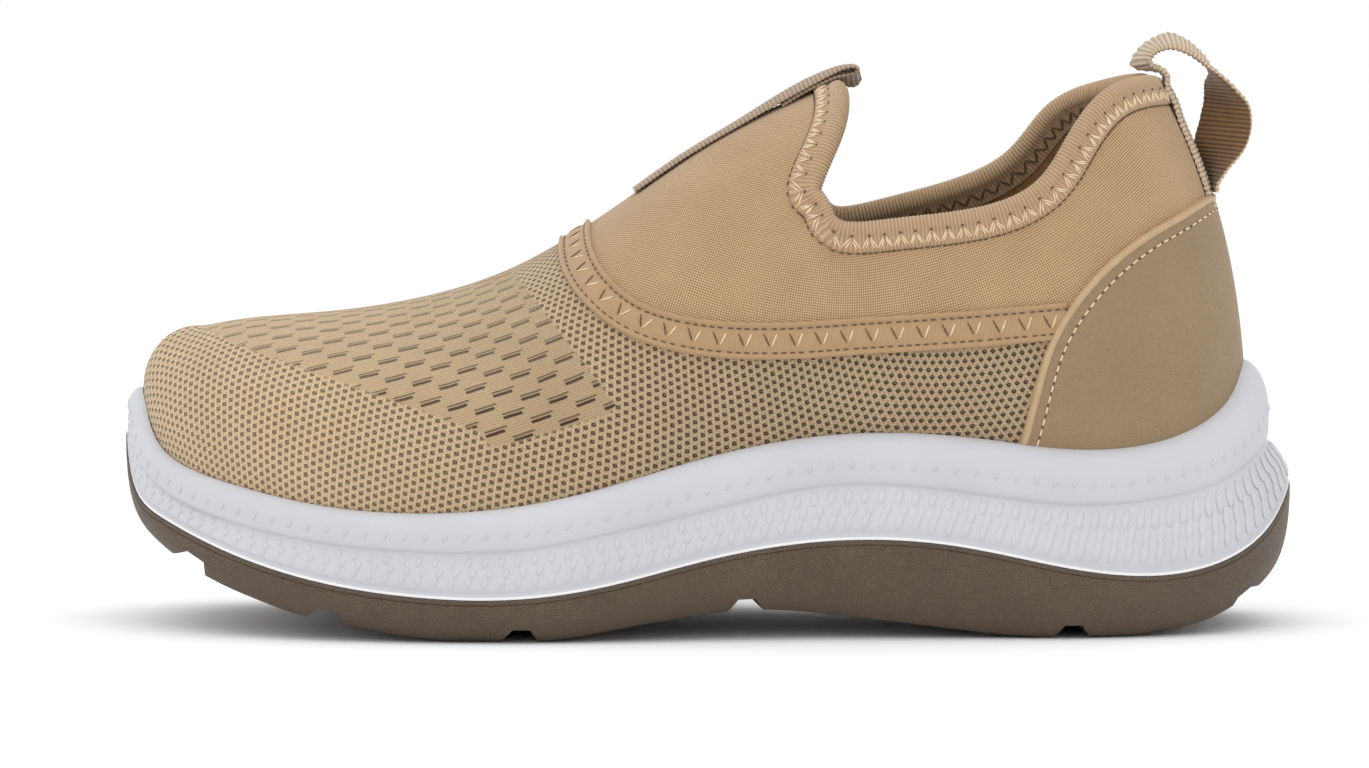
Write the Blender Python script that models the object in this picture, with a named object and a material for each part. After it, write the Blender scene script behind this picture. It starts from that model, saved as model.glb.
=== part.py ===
"""Slip-on walking sneaker, one left shoe, standing empty on its sole.

Metres, +Z up. The toe points to -X, the outer side of the foot is -Y and the inner side is +Y.
The origin is on the floor, under the middle of the sole.
Every curved piece is worked out from a few real sizes and short tables, a row for each section.
A section is named by its angle around the sole: 0 at the toe tip, 180 at the heel tip,
the outer side in between and the inner side beyond 180.
"""

import math

import bmesh
import bpy
import numpy as np
from mathutils import Vector
from mathutils.bvhtree import BVHTree

# Overall sizes
SHOE_LENGTH = 0.2804
BALL_WIDTH = 0.1035
RIM_HEIGHT = 0.0632
TONGUE_HEIGHT = 0.1300
COLLAR_HEIGHT = 0.1300
COLLAR_WIDTH = 0.0610
INNER_SIDE_RISE = 0.0030

# Walls, clearances and insets
FIT_GAP = 0.0003
UPPER_WALL = 0.0025
RIM_INSET = 0.0123
BEAD_INSET = 0.0052
LIP_INSET = 0.0006
LIP_HEIGHT = 0.0018
GROOVE_DEPTH = 0.0009
BAND_SWELL = 1.6
TREAD_INSET = 0.0070
SIDE_ROUND = 0.85
OUTSOLE_THICKNESS = 0.0045
CUP_WALL = 0.0030
CUP_DRAFT = 0.0010
TUCK = 0.0012
INSOLE_THICKNESS = 0.0040
INSOLE_ROUND = 0.0015

# Trim
COUNTER_THICKNESS = 0.0012
BAND_THICKNESS = 0.0010
BINDING_DEPTH = 0.0068
BINDING_THICKNESS = 0.0010
BINDING_GAP = 0.0005
WEBBING_THICKNESS = 0.0014
LOOP_WIDTH = 0.0140
TAB_WIDTH = 0.0140
TAB_THICKNESS = 0.0012
TAB_START = 0.407
COUNTER_FROM = 113
BAND_FROM = 45
BAND_TO = 150

# Cross grooves in the tread
GROOVE_WIDTH = 0.0060
GROOVE_CUT = 0.0030
GROOVE_BOW = 0.0060

# Sole sections. outer and inner are the edge's place across, in shares of BALL_WIDTH.
# rim, groove and lip are heights in shares of RIM_HEIGHT, the insets are shares of RIM_INSET and
# BEAD_INSET, crease is the share of GROOVE_DEPTH and arch the share of INNER_SIDE_RISE.
SOLE = [
    # along, outer, inner, rim, groove, lip, rim_inset, bead_inset, crease, arch
    (0.000, 0.058, 0.058, 0.886, 0.790, 0.715, 0.33, 0.12, 0.0, 0.0),
    (0.004, -0.034, 0.150, 0.846, 0.730, 0.615, 0.34, 0.14, 0.1, 0.0),
    (0.012, -0.102, 0.220, 0.748, 0.640, 0.515, 0.35, 0.16, 0.5, 0.0),
    (0.040, -0.226, 0.342, 0.628, 0.511, 0.418, 0.38, 0.23, 1.0, 0.0),
    (0.100, -0.366, 0.424, 0.551, 0.418, 0.309, 0.44, 0.33, 1.0, 0.0),
    (0.180, -0.460, 0.466, 0.487, 0.354, 0.212, 0.50, 0.38, 1.0, 0.1),
    (0.270, -0.512, 0.482, 0.470, 0.328, 0.163, 0.53, 0.40, 1.0, 0.2),
    (0.340, -0.522, 0.473, 0.494, 0.334, 0.160, 0.55, 0.42, 1.0, 0.4),
    (0.420, -0.505, 0.440, 0.565, 0.394, 0.209, 0.58, 0.46, 1.0, 0.7),
    (0.500, -0.471, 0.396, 0.665, 0.473, 0.297, 0.64, 0.53, 1.0, 1.0),
    (0.600, -0.443, 0.360, 0.746, 0.562, 0.364, 0.74, 0.62, 1.0, 1.0),
    (0.700, -0.435, 0.356, 0.745, 0.544, 0.348, 0.82, 0.73, 1.0, 0.6),
    (0.800, -0.430, 0.370, 0.696, 0.489, 0.261, 0.90, 0.85, 1.0, 0.2),
    (0.880, -0.386, 0.351, 0.706, 0.503, 0.229, 0.95, 0.92, 1.0, 0.0),
    (0.940, -0.300, 0.285, 0.772, 0.551, 0.282, 0.98, 0.97, 0.9, 0.0),
    (0.980, -0.176, 0.176, 0.876, 0.630, 0.400, 1.00, 1.00, 0.7, 0.0),
    (0.995, -0.088, 0.088, 0.970, 0.680, 0.496, 1.00, 1.00, 0.6, 0.0),
    (1.000, 0.000, 0.000, 1.000, 0.696, 0.530, 1.00, 1.00, 0.6, 0.0),
]

# The tread seen from the side and the bed that the foot lies on, heights in shares of RIM_HEIGHT
PROFILE = [
    # along, tread, bed
    (0.000, 0.700, 0.600),
    (0.010, 0.450, 0.580),
    (0.024, 0.380, 0.550),
    (0.058, 0.266, 0.470),
    (0.093, 0.184, 0.410),
    (0.129, 0.126, 0.365),
    (0.161, 0.082, 0.335),
    (0.197, 0.054, 0.318),
    (0.229, 0.027, 0.310),
    (0.293, -0.004, 0.305),
    (0.365, -0.004, 0.318),
    (0.430, 0.043, 0.350),
    (0.490, 0.085, 0.400),
    (0.543, 0.104, 0.440),
    (0.610, 0.081, 0.478),
    (0.680, 0.043, 0.498),
    (0.743, 0.010, 0.508),
    (0.790, -0.004, 0.512),
    (0.845, -0.004, 0.515),
    (0.878, 0.013, 0.518),
    (0.914, 0.040, 0.520),
    (0.950, 0.110, 0.522),
    (0.970, 0.166, 0.524),
    (0.985, 0.225, 0.526),
    (1.000, 0.420, 0.528),
]

# The middle of the instep from the side: what each vamp section ends on
RIDGE = [
    # angle, along, height in shares of TONGUE_HEIGHT
    (0, 0.065, 0.545),
    (15, 0.073, 0.547),
    (30, 0.103, 0.558),
    (45, 0.160, 0.569),
    (60, 0.238, 0.591),
    (72, 0.332, 0.652),
    (84, 0.439, 0.793),
    (92, 0.529, 0.919),
    (98, 0.611, 1.000),
]

# How each vamp section rises from the rim and turns over to the instep.
# rise is a share of the section's height, lean is in metres, shoulder a share of its half width.
VAMP = [
    # angle, rise, lean, shoulder
    (0, 0.50, 0.0005, 0.62),
    (15, 0.55, 0.0020, 0.62),
    (30, 0.60, 0.0030, 0.62),
    (45, 0.62, 0.0038, 0.62),
    (60, 0.60, 0.0042, 0.60),
    (72, 0.58, 0.0045, 0.58),
    (84, 0.50, 0.0048, 0.58),
    (92, 0.44, 0.0050, 0.60),
]

# How each quarter section rises from the rim to the collar.
# reach is how far along the collar's lower edge it ends, lean and flare are in metres.
QUARTER = [
    # angle, reach, lean, flare
    (98, 0.000, 0.0040, 0.0080),
    (105, 0.075, 0.0042, 0.0060),
    (113, 0.195, 0.0042, 0.0050),
    (122, 0.355, 0.0042, 0.0050),
    (132, 0.510, 0.0036, 0.0050),
    (142, 0.645, 0.0028, 0.0060),
    (153, 0.770, 0.0012, 0.0075),
    (165, 0.885, -0.0006, 0.0108),
    (180, 1.000, -0.0018, 0.0130),
]
QUARTER_RISE = 0.33
VAMP_SPLIT = 0.56

# The collar's edge, down the side of the tongue: spread in shares of COLLAR_WIDTH
TONGUE_EDGE = [
    # along, spread, height in shares of TONGUE_HEIGHT
    (0.588, 0.475, 0.796),
    (0.595, 0.451, 0.842),
    (0.605, 0.402, 0.896),
    (0.612, 0.311, 0.946),
    (0.613, 0.164, 0.987),
    (0.611, 0.000, 1.000),
]

# The collar's edge, from the foot of the tongue back to the heel
COLLAR = [
    # outer along, inner along, spread, outer height, inner height in shares of COLLAR_HEIGHT
    (0.588, 0.588, 0.475, 0.796, 0.796),
    (0.594, 0.594, 0.489, 0.758, 0.766),
    (0.612, 0.610, 0.495, 0.742, 0.754),
    (0.653, 0.646, 0.500, 0.742, 0.762),
    (0.703, 0.689, 0.497, 0.753, 0.785),
    (0.744, 0.725, 0.485, 0.774, 0.809),
    (0.773, 0.754, 0.469, 0.802, 0.836),
    (0.792, 0.773, 0.449, 0.842, 0.877),
    (0.807, 0.789, 0.423, 0.900, 0.922),
    (0.821, 0.808, 0.393, 0.949, 0.960),
    (0.842, 0.836, 0.341, 0.981, 0.985),
    (0.866, 0.862, 0.238, 0.997, 1.001),
    (0.880, 0.879, 0.123, 1.002, 1.002),
    (0.8845, 0.8845, 0.000, 0.999, 0.999),
]

# Side outlines of the overlays: along in shares of SHOE_LENGTH, height of COLLAR_HEIGHT
COUNTER_EDGE = [
    (0.758, 0.300),
    (0.763, 0.337),
    (0.775, 0.438),
    (0.788, 0.527),
    (0.806, 0.592),
    (0.832, 0.656),
    (0.866, 0.713),
    (0.906, 0.759),
    (0.940, 0.800),
    (1.010, 0.900),
]
BAND_TOP = [
    (0.385, 0.800),
    (0.397, 0.735),
    (0.400, 0.695),
    (0.417, 0.636),
    (0.441, 0.596),
    (0.477, 0.574),
    (0.535, 0.560),
    (0.618, 0.565),
    (0.702, 0.577),
    (0.800, 0.595),
]
BAND_LOW = [
    (0.350, 0.760),
    (0.374, 0.703),
    (0.383, 0.648),
    (0.395, 0.613),
    (0.426, 0.559),
    (0.468, 0.522),
    (0.535, 0.506),
    (0.618, 0.514),
    (0.702, 0.524),
    (0.800, 0.540),
]

# Cross grooves: place along, how far they run across in shares of BALL_WIDTH, and their depth share
GROOVES = [
    (0.068, 1.2, 1.0),
    (0.120, 0.50, 0.8),
    (0.180, 1.2, 1.0),
    (0.235, 0.66, 0.8),
    (0.290, 0.66, 0.8),
    (0.340, 1.2, 1.0),
    (0.395, 0.62, 0.8),
    (0.450, 0.56, 0.8),
    (0.532, 1.2, 1.0),
    (0.620, 0.46, 0.8),
    (0.690, 0.46, 0.8),
    (0.745, 0.46, 0.8),
    (0.806, 1.2, 1.0),
    (0.865, 0.42, 0.8),
    (0.962, 1.2, 0.5),
]

# Pull loop: its middle line seen from the side, from the top of the leg over and back to the counter.
# back and up are metres from the top of the heel, twist is in degrees. The leg follows the upper.
LOOP = [
    # back, up, twist
    (-0.0010, 0.0038, 4),
    (-0.0035, 0.0056, 12),
    (-0.0027, 0.0076, 18),
    (0.0001, 0.0089, 20),
    (0.0036, 0.0088, 16),
    (0.0073, 0.0073, 6),
    (0.0109, 0.0049, -12),
    (0.0143, 0.0007, -32),
    (0.0165, -0.0041, -48),
    (0.0173, -0.0093, -52),
    (0.0162, -0.0149, -48),
    (0.0146, -0.0201, -26),
    (0.0143, -0.0251, -6),
]
LEG_ROWS = 4
LEG_START = 0.13

# The end of the front tab past the bound edge: metres ahead and down
TAB_CURL = [
    # reach, sink
    (0.0000, 0.0000),
    (0.0022, 0.0000),
    (0.0038, 0.0006),
    (0.0047, 0.0016),
    (0.0049, 0.0029),
    (0.0043, 0.0040),
    (0.0032, 0.0046),
]

# How finely the pieces are faceted
STEPS_PER_SECTION = 2
LOW_ROWS = 8
ARCH_ROWS = 5
LOOP_PIECES = 44
TAB_PIECES = 4
OUTLINE_PIECES = 24
GROOVE_PIECES = 8

ANGLES = [row[0] for row in VAMP] + [row[0] for row in QUARTER]
THROAT = QUARTER[0][0]
BINDING_TURN = 2
COLLAR_ROW = LOW_ROWS + 1


class Curve:
    """A smooth curve through the rows of a table, closed where a period is given."""

    def __init__(self, keys, values, period=0.0):
        keys = np.array(keys, dtype=float)
        values = np.array(values, dtype=float)
        if period:
            keys = np.concatenate([keys - period, keys, keys + period])
            values = np.concatenate([values, values, values])
        gaps = np.diff(keys)
        slopes = np.diff(values, axis=0) / gaps[:, None]
        matrix = np.eye(len(keys))
        right = np.zeros_like(values)
        for i in range(1, len(keys) - 1):
            matrix[i, i - 1] = gaps[i - 1]
            matrix[i, i] = 2.0 * (gaps[i - 1] + gaps[i])
            matrix[i, i + 1] = gaps[i]
            right[i] = 6.0 * (slopes[i] - slopes[i - 1])
        self.keys = keys
        self.values = values
        self.bends = np.linalg.solve(matrix, right)

    def __call__(self, key):
        i = int(np.clip(np.searchsorted(self.keys, key) - 1, 0, len(self.keys) - 2))
        gap = self.keys[i + 1] - self.keys[i]
        a = (self.keys[i + 1] - key) / gap
        b = 1.0 - a
        straight = a * self.values[i] + b * self.values[i + 1]
        bend = (a**3 - a) * self.bends[i] + (b**3 - b) * self.bends[i + 1]
        return straight + bend * gap * gap / 6.0


def angle_at(along):
    """The section angle of a place along the shoe, on the outer side."""
    return math.degrees(math.acos(1.0 - 2.0 * along))


def both_sides(rows, outer_values, inner_values):
    """A closed curve around the sole from rows that each give an outer and an inner section."""
    keys = []
    values = []
    for row in rows:
        keys.append(angle_at(row[0]))
        values.append(outer_values(row))
    for row in rows[-2:0:-1]:
        keys.append(360.0 - angle_at(row[0]))
        values.append(inner_values(row))
    return Curve(keys, values, 360.0)


def outer_section(row):
    along, outer, inner, rim, groove, lip, rim_inset, bead_inset, crease, arch = row
    return (outer, rim, groove, lip, rim_inset, bead_inset, crease, 0.0)


def inner_section(row):
    along, outer, inner, rim, groove, lip, rim_inset, bead_inset, crease, arch = row
    return (inner, rim, groove, lip, rim_inset, bead_inset, crease, arch)


SOLE_CURVE = both_sides(SOLE, outer_section, inner_section)
PROFILE_CURVE = Curve([angle_at(row[0]) for row in PROFILE], [row[1:] for row in PROFILE])
RIDGE_CURVE = Curve([row[0] for row in RIDGE], [row[1:] for row in RIDGE])
EDGE_SHARES = [float(SOLE_CURVE(angle)[0]) for angle in range(360)]
CENTRE = (max(EDGE_SHARES) + min(EDGE_SHARES)) / 2.0
TOE_SIDE = (SOLE[0][1] - CENTRE) * BALL_WIDTH
HEEL_SIDE = (SOLE[-1][1] - CENTRE) * BALL_WIDTH


def place(along):
    """The x of a share of the shoe's length, from the toe tip."""
    return (along - 0.5) * SHOE_LENGTH


def middle(x):
    """The y of the foot's middle line, which drifts to the inner side at the toe."""
    along = np.clip(x / SHOE_LENGTH + 0.5, 0.0, 1.0)
    return HEEL_SIDE + (TOE_SIDE - HEEL_SIDE) * (1.0 - along) ** 2


def edge_point(angle):
    """The sole's outermost point at a section."""
    x = -0.5 * SHOE_LENGTH * math.cos(math.radians(angle))
    y = (float(SOLE_CURVE(angle % 360.0)[0]) - CENTRE) * BALL_WIDTH
    return Vector((x, y, 0.0))


def outward(angle):
    """The level direction that points out of the sole's edge."""
    step = 0.5
    run = edge_point(angle + step) - edge_point(angle - step)
    return Vector((-run.y, run.x, 0.0)).normalized() * -1.0


class Section:
    """Everything that the sole's table says at one angle, in metres."""

    def __init__(self, angle):
        share = SOLE_CURVE(angle % 360.0)
        rise = share[7] * INNER_SIDE_RISE
        self.angle = angle
        self.rim = share[1] * RIM_HEIGHT + rise
        self.groove = share[2] * RIM_HEIGHT + rise
        self.lip = share[3] * RIM_HEIGHT + rise
        self.rim_inset = share[4] * RIM_INSET
        self.bead_inset = share[5] * BEAD_INSET
        self.crease = share[6] * GROOVE_DEPTH
        self.arch = rise
        self.edge = edge_point(angle)
        self.out = outward(angle)

    def at(self, inset, height):
        point = self.edge - self.out * inset
        return Vector((point.x, point.y, height))

    def low(self, inset, above=0.0):
        """A point on the tread, or above it: the inner side rises only where the tread leaves the ground."""
        point = self.at(inset, 0.0)
        tread = tread_height(point.x)
        point.z = tread + self.arch * min(1.0, tread / INNER_SIDE_RISE) + above
        return point

    def on_bed(self, inset, above=0.0):
        """A point on the bed under the foot, or above it."""
        point = self.at(inset, 0.0)
        point.z = bed_height(point.x) + above
        return point


def profile(x, column):
    along = min(max(x / SHOE_LENGTH + 0.5, 0.0), 1.0)
    return float(PROFILE_CURVE(angle_at(along))[column]) * RIM_HEIGHT


def tread_height(x):
    return max(0.0, profile(x, 0))


def bed_height(x):
    return profile(x, 1)


def stations():
    """The section angles that every piece is built on, all the way round."""
    side = []
    for first, last in zip(ANGLES, ANGLES[1:]):
        for step in range(STEPS_PER_SECTION):
            side.append(first + (last - first) * step / STEPS_PER_SECTION)
    side += [ANGLES[-1], THROAT - BINDING_TURN]
    side = sorted(set(side))
    return side + [360.0 - angle for angle in side[-2:0:-1]]


STATIONS = stations()
SECTIONS = [Section(angle) for angle in STATIONS]
FOOT_OF_TONGUE = STATIONS.index(THROAT)


def finished(name, points, faces, colour, roughness, smooth=True):
    """An object with its own material from points and faces."""
    mesh = bpy.data.meshes.new(name)
    mesh.from_pydata([tuple(point) for point in points], [], faces)
    tidy = bmesh.new()
    tidy.from_mesh(mesh)
    bmesh.ops.recalc_face_normals(tidy, faces=tidy.faces)
    tidy.to_mesh(mesh)
    tidy.free()
    if smooth:
        mesh.shade_smooth()
        mesh.set_sharp_from_angle(angle=math.radians(40.0))
    material = bpy.data.materials.new(name)
    material.use_nodes = True
    shader = material.node_tree.nodes["Principled BSDF"]
    shader.inputs["Base Color"].default_value = (*colour, 1.0)
    shader.inputs["Roughness"].default_value = roughness
    shader.inputs["Metallic"].default_value = 0.0
    mesh.materials.append(material)
    thing = bpy.data.objects.new(name, mesh)
    bpy.context.collection.objects.link(thing)
    return thing


def ladder(ring, count, flip=False):
    """Faces that close a ring of stations across the shoe, rung by rung."""
    faces = []
    for i in range(count // 2):
        a, b = ring + i, ring + i + 1
        c, d = ring + (count - i - 1) % count, ring + (count - i) % count
        for face in ((a, b, c), (a, c, d)):
            if len(set(face)) == 3:
                faces.append(face[::-1] if flip else face)
    return faces


def rank(point):
    """Orders two points of a section: the higher one first, or the outer one where both are level."""
    return point.z + 0.01 * math.hypot(point.x, point.y)


def stacked(rings):
    """Points and faces of a solid made of closed rings, capped across at its first and last ring.

    Each four-cornered cell is split from its higher side, so that facing walls of two pieces match.
    """
    count = len(rings[0])
    points = [point for ring in rings for point in ring]
    faces = []
    for level in range(len(rings) - 1):
        for i in range(count):
            j = (i + 1) % count
            a, b = level * count + i, level * count + j
            c, d = b + count, a + count
            if rank(rings[level][i]) > rank(rings[level + 1][i]):
                faces += [(a, b, c), (a, c, d)]
            else:
                faces += [(a, b, d), (b, c, d)]
    faces += ladder(0, count)
    faces += ladder((len(rings) - 1) * count, count, True)
    return points, faces


def make_outsole():
    """Rubber cup: tread, rounded side, top edge at the lip, and the floor that the foam sits in."""
    rings = [[s.low(TREAD_INSET) for s in SECTIONS]]
    for turn in (30.0, 58.0, 80.0):
        inset = TREAD_INSET * (1.0 - math.sin(math.radians(turn)))
        share = SIDE_ROUND * (1.0 - math.cos(math.radians(turn)))
        rings.append([s.at(inset, s.low(TREAD_INSET).z * (1.0 - share) + s.lip * share) for s in SECTIONS])
    rings.append([s.at(0.0, s.lip) for s in SECTIONS])
    rings.append([s.at(CUP_WALL, s.lip) for s in SECTIONS])
    rings.append([cup_floor(s, 0.0) for s in SECTIONS])
    points, faces = stacked(rings)
    outsole = finished("outsole", points, faces, (0.165, 0.115, 0.082), 0.7)
    cutter = make_groove_cutters()
    cut = outsole.modifiers.new("cross grooves", "BOOLEAN")
    cut.operation = "DIFFERENCE"
    cut.solver = "EXACT"
    cut.object = cutter
    return outsole


def cup_floor(section, clear):
    """The inner corner of the rubber cup, and with a clearance the foam that sits in it."""
    inset = CUP_WALL + CUP_DRAFT
    height = section.low(inset, OUTSOLE_THICKNESS).z
    height = min(height, section.lip - OUTSOLE_THICKNESS * 0.2)
    return section.at(inset + clear, height + 2.0 * clear)


def make_groove_cutters():
    """One mesh of bowed bars that cut the cross grooves, following the tread's rise at toe and heel."""
    points = []
    faces = []
    for along, spread, depth_share in GROOVES:
        x = place(along)
        slope = math.atan2(tread_height(x + 0.004) - tread_height(x - 0.004), 0.008)
        depth = GROOVE_CUT * depth_share
        profile_points = [
            (-0.85 * GROOVE_WIDTH, -2.0 * depth),
            (0.85 * GROOVE_WIDTH, -2.0 * depth),
            (0.36 * GROOVE_WIDTH, depth),
            (-0.36 * GROOVE_WIDTH, depth),
        ]
        base = len(points)
        for piece in range(GROOVE_PIECES + 1):
            share = 2.0 * piece / GROOVE_PIECES - 1.0
            y = middle(x) + 0.5 * spread * BALL_WIDTH * share
            bow = GROOVE_BOW * (share * share - 0.5) * min(1.0, spread)
            for across, up in profile_points:
                turned_x = across * math.cos(slope) - up * math.sin(slope)
                turned_z = across * math.sin(slope) + up * math.cos(slope)
                points.append((x + bow + turned_x, y, tread_height(x) + turned_z))
        for piece in range(GROOVE_PIECES):
            for corner in range(4):
                following = (corner + 1) % 4
                first = base + 4 * piece
                faces.append((first + corner, first + following, first + 4 + following, first + 4 + corner))
        faces.append((base, base + 1, base + 2, base + 3))
        last = base + 4 * GROOVE_PIECES
        faces.append((last + 3, last + 2, last + 1, last))
    cutter = finished("cross_groove_cutter", points, faces, (1.0, 0.0, 0.0), 0.5, smooth=False)
    cutter.hide_render = True
    cutter.display_type = "WIRE"
    return cutter


def make_midsole():
    """Foam cup: plug in the rubber, lip, hollowed band, groove, bead, rim and the bed for the foot."""
    rings = []
    rings.append([cup_floor(s, FIT_GAP) for s in SECTIONS])
    rings.append([s.at(CUP_WALL + FIT_GAP, s.lip + FIT_GAP) for s in SECTIONS])
    rings.append([s.at(LIP_INSET, s.lip + FIT_GAP) for s in SECTIONS])
    rings.append([s.at(LIP_INSET, s.lip + LIP_HEIGHT) for s in SECTIONS])
    for share in (0.3, 0.65):
        rings.append([band_point(s, share) for s in SECTIONS])
    rings.append([s.at(s.bead_inset + s.crease, s.groove) for s in SECTIONS])
    for share, inset_share in ((0.12, 0.03), (0.36, 0.0)):
        ring = []
        for s in SECTIONS:
            height = s.groove + (s.rim - s.groove) * share
            ring.append(s.at(s.bead_inset + (s.rim_inset - s.bead_inset) * inset_share, height))
        rings.append(ring)
    for turn in (35.0, 65.0, 90.0):
        ring = []
        for s in SECTIONS:
            inset = s.bead_inset + (s.rim_inset - s.bead_inset) * (1.0 - math.cos(math.radians(turn)))
            shoulder = s.groove + (s.rim - s.groove) * 0.36
            ring.append(s.at(inset, shoulder + (s.rim - shoulder) * math.sin(math.radians(turn))))
        rings.append(ring)
    rings.append([s.on_bed(s.rim_inset + TUCK) for s in SECTIONS])
    points, faces = stacked(rings)
    return finished("midsole", points, faces, (0.80, 0.81, 0.84), 0.55)


def band_point(section, share):
    """A point of the hollowed band between the lip and the groove."""
    low = section.lip + LIP_HEIGHT
    end = section.bead_inset + section.crease
    inset = LIP_INSET + (end - LIP_INSET) * share**BAND_SWELL
    return section.at(inset, low + (section.groove - low) * share)


def make_insole():
    """Thin footbed inside the upper, its top edge rounded."""
    inset = TUCK + FIT_GAP + UPPER_WALL + 2.0 * FIT_GAP
    rings = []
    rings.append([s.on_bed(s.rim_inset + inset, FIT_GAP) for s in SECTIONS])
    rings.append([s.on_bed(s.rim_inset + inset, FIT_GAP + INSOLE_THICKNESS * 0.6) for s in SECTIONS])
    top = FIT_GAP + INSOLE_THICKNESS
    rings.append([s.on_bed(s.rim_inset + inset + INSOLE_ROUND, top) for s in SECTIONS])
    points, faces = stacked(rings)
    return finished("insole", points, faces, (0.52, 0.39, 0.25), 0.9)


def bezier(a, b, c, d, t):
    s = 1.0 - t
    return a * s**3 + b * (3.0 * s * s * t) + c * (3.0 * s * t * t) + d * t**3


def edge_curve(rows):
    """A curve by its own length through points, with the shares 0 to 1 as keys."""
    points = np.array([tuple(row) for row in rows])
    steps = np.linalg.norm(np.diff(points, axis=0), axis=1)
    keys = np.concatenate([[0.0], np.cumsum(steps)])
    return Curve(keys / keys[-1], points)


def tongue_edge(side):
    """From the foot of the tongue up its side to the middle: side is -1 outer, 1 inner."""
    rows = []
    for along, spread, height in TONGUE_EDGE:
        x = place(along)
        rows.append((x, middle(x) + side * spread * COLLAR_WIDTH, height * TONGUE_HEIGHT))
    return edge_curve(rows)


def collar_edge(side):
    """From the foot of the tongue back to the middle of the heel."""
    rows = []
    for outer_along, inner_along, spread, outer_height, inner_height in COLLAR:
        x = place(outer_along if side < 0 else inner_along)
        height = outer_height if side < 0 else inner_height
        rows.append((x, middle(x) + side * spread * COLLAR_WIDTH, height * COLLAR_HEIGHT))
    return edge_curve(rows)


def rim_point(section):
    return section.at(section.rim_inset + FIT_GAP, section.rim)


def low_shares(height):
    """Row places between the rim and the collar; the last row is the binding's depth."""
    last = 1.0 - BINDING_DEPTH / height
    return [last * j / (LOW_ROWS - 1) for j in range(LOW_ROWS)] + [1.0]


def quarter_rows(row, side):
    """The points of one quarter section, rim to collar."""
    angle, reach, lean, flare = row
    s = Section(angle if side < 0 else 360.0 - angle)
    base = rim_point(s)
    top = Vector(collar_edge(side)(reach))
    height = top.z - base.z
    rise = Vector((0.0, 0.0, height * QUARTER_RISE))
    low = base + rise + s.out * lean
    high = top - rise + s.out * flare
    return [bezier(base, low, high, top, t) for t in low_shares(height)]


def vamp_rows(row, side):
    """The points of one vamp section, rim to the middle of the instep."""
    angle, rise, lean, shoulder = row
    s = Section(angle if side < 0 else 360.0 - angle)
    base = rim_point(s)
    along, height = RIDGE_CURVE(angle)
    x = place(along)
    top = Vector((x, middle(x), height * TONGUE_HEIGHT))
    slope = ridge_slope(angle)
    low = base + Vector((0.0, 0.0, (top.z - base.z) * rise)) + s.out * lean
    level = (base - top) * shoulder
    high = top + Vector((level.x, level.y, level.x * slope))
    shares = [VAMP_SPLIT * t for t in low_shares(top.z - base.z)]
    shares += [VAMP_SPLIT + (1.0 - VAMP_SPLIT) * k / ARCH_ROWS for k in range(1, ARCH_ROWS + 1)]
    return [bezier(base, low, high, top, t) for t in shares]


def ridge_slope(angle):
    """How steeply the instep's middle line climbs at a section."""
    step = 1.0
    before = RIDGE_CURVE(max(angle, step) - step)
    after = RIDGE_CURVE(max(angle, step) + step)
    climb = (after[1] - before[1]) * TONGUE_HEIGHT
    return float(climb / ((after[0] - before[0]) * SHOE_LENGTH))


def section_points(side):
    """Every table section of one side: its angle and its rows of points."""
    found = []
    for row in VAMP:
        found.append((row[0], vamp_rows(row, side)))
    for row in QUARTER:
        rows = quarter_rows(row, side)
        if row[0] == THROAT:
            edge = tongue_edge(side)
            rows += [Vector(edge(k / ARCH_ROWS)) for k in range(1, ARCH_ROWS + 1)]
        found.append((row[0], rows))
    return found


def upper_surface():
    """The outer face of the upper: for each station its rows of points."""
    outer = section_points(-1)
    inner = section_points(1)
    lower = []
    for j in range(LOW_ROWS + 1):
        keys = [angle for angle, rows in outer]
        values = [tuple(rows[j]) for angle, rows in outer]
        for angle, rows in inner[-2:0:-1]:
            keys.append(360.0 - angle)
            values.append(tuple(rows[j]))
        lower.append(Curve(keys, values, 360.0))
    arch = []
    last = LOW_ROWS + ARCH_ROWS
    for j in range(LOW_ROWS + 1, last + 1):
        keys = []
        values = []
        for angle, rows in inner[::-1]:
            if 0 < angle <= THROAT:
                keys.append(-angle)
                values.append(tuple(rows[j]))
        for angle, rows in outer:
            if angle <= THROAT:
                keys.append(angle)
                values.append(tuple(rows[j]))
        arch.append(Curve(keys, values))
    columns = []
    for s in SECTIONS:
        foot = s.on_bed(s.rim_inset + FIT_GAP + TUCK, FIT_GAP)
        rows = [foot] + [Vector(curve(s.angle)) for curve in lower]
        rows[1] = rim_point(s)
        signed = s.angle if s.angle <= 180.0 else s.angle - 360.0
        if abs(signed) <= THROAT:
            rows += [Vector(curve(signed)) for curve in arch]
        columns.append(rows)
    return columns


COLUMNS = upper_surface()


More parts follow.
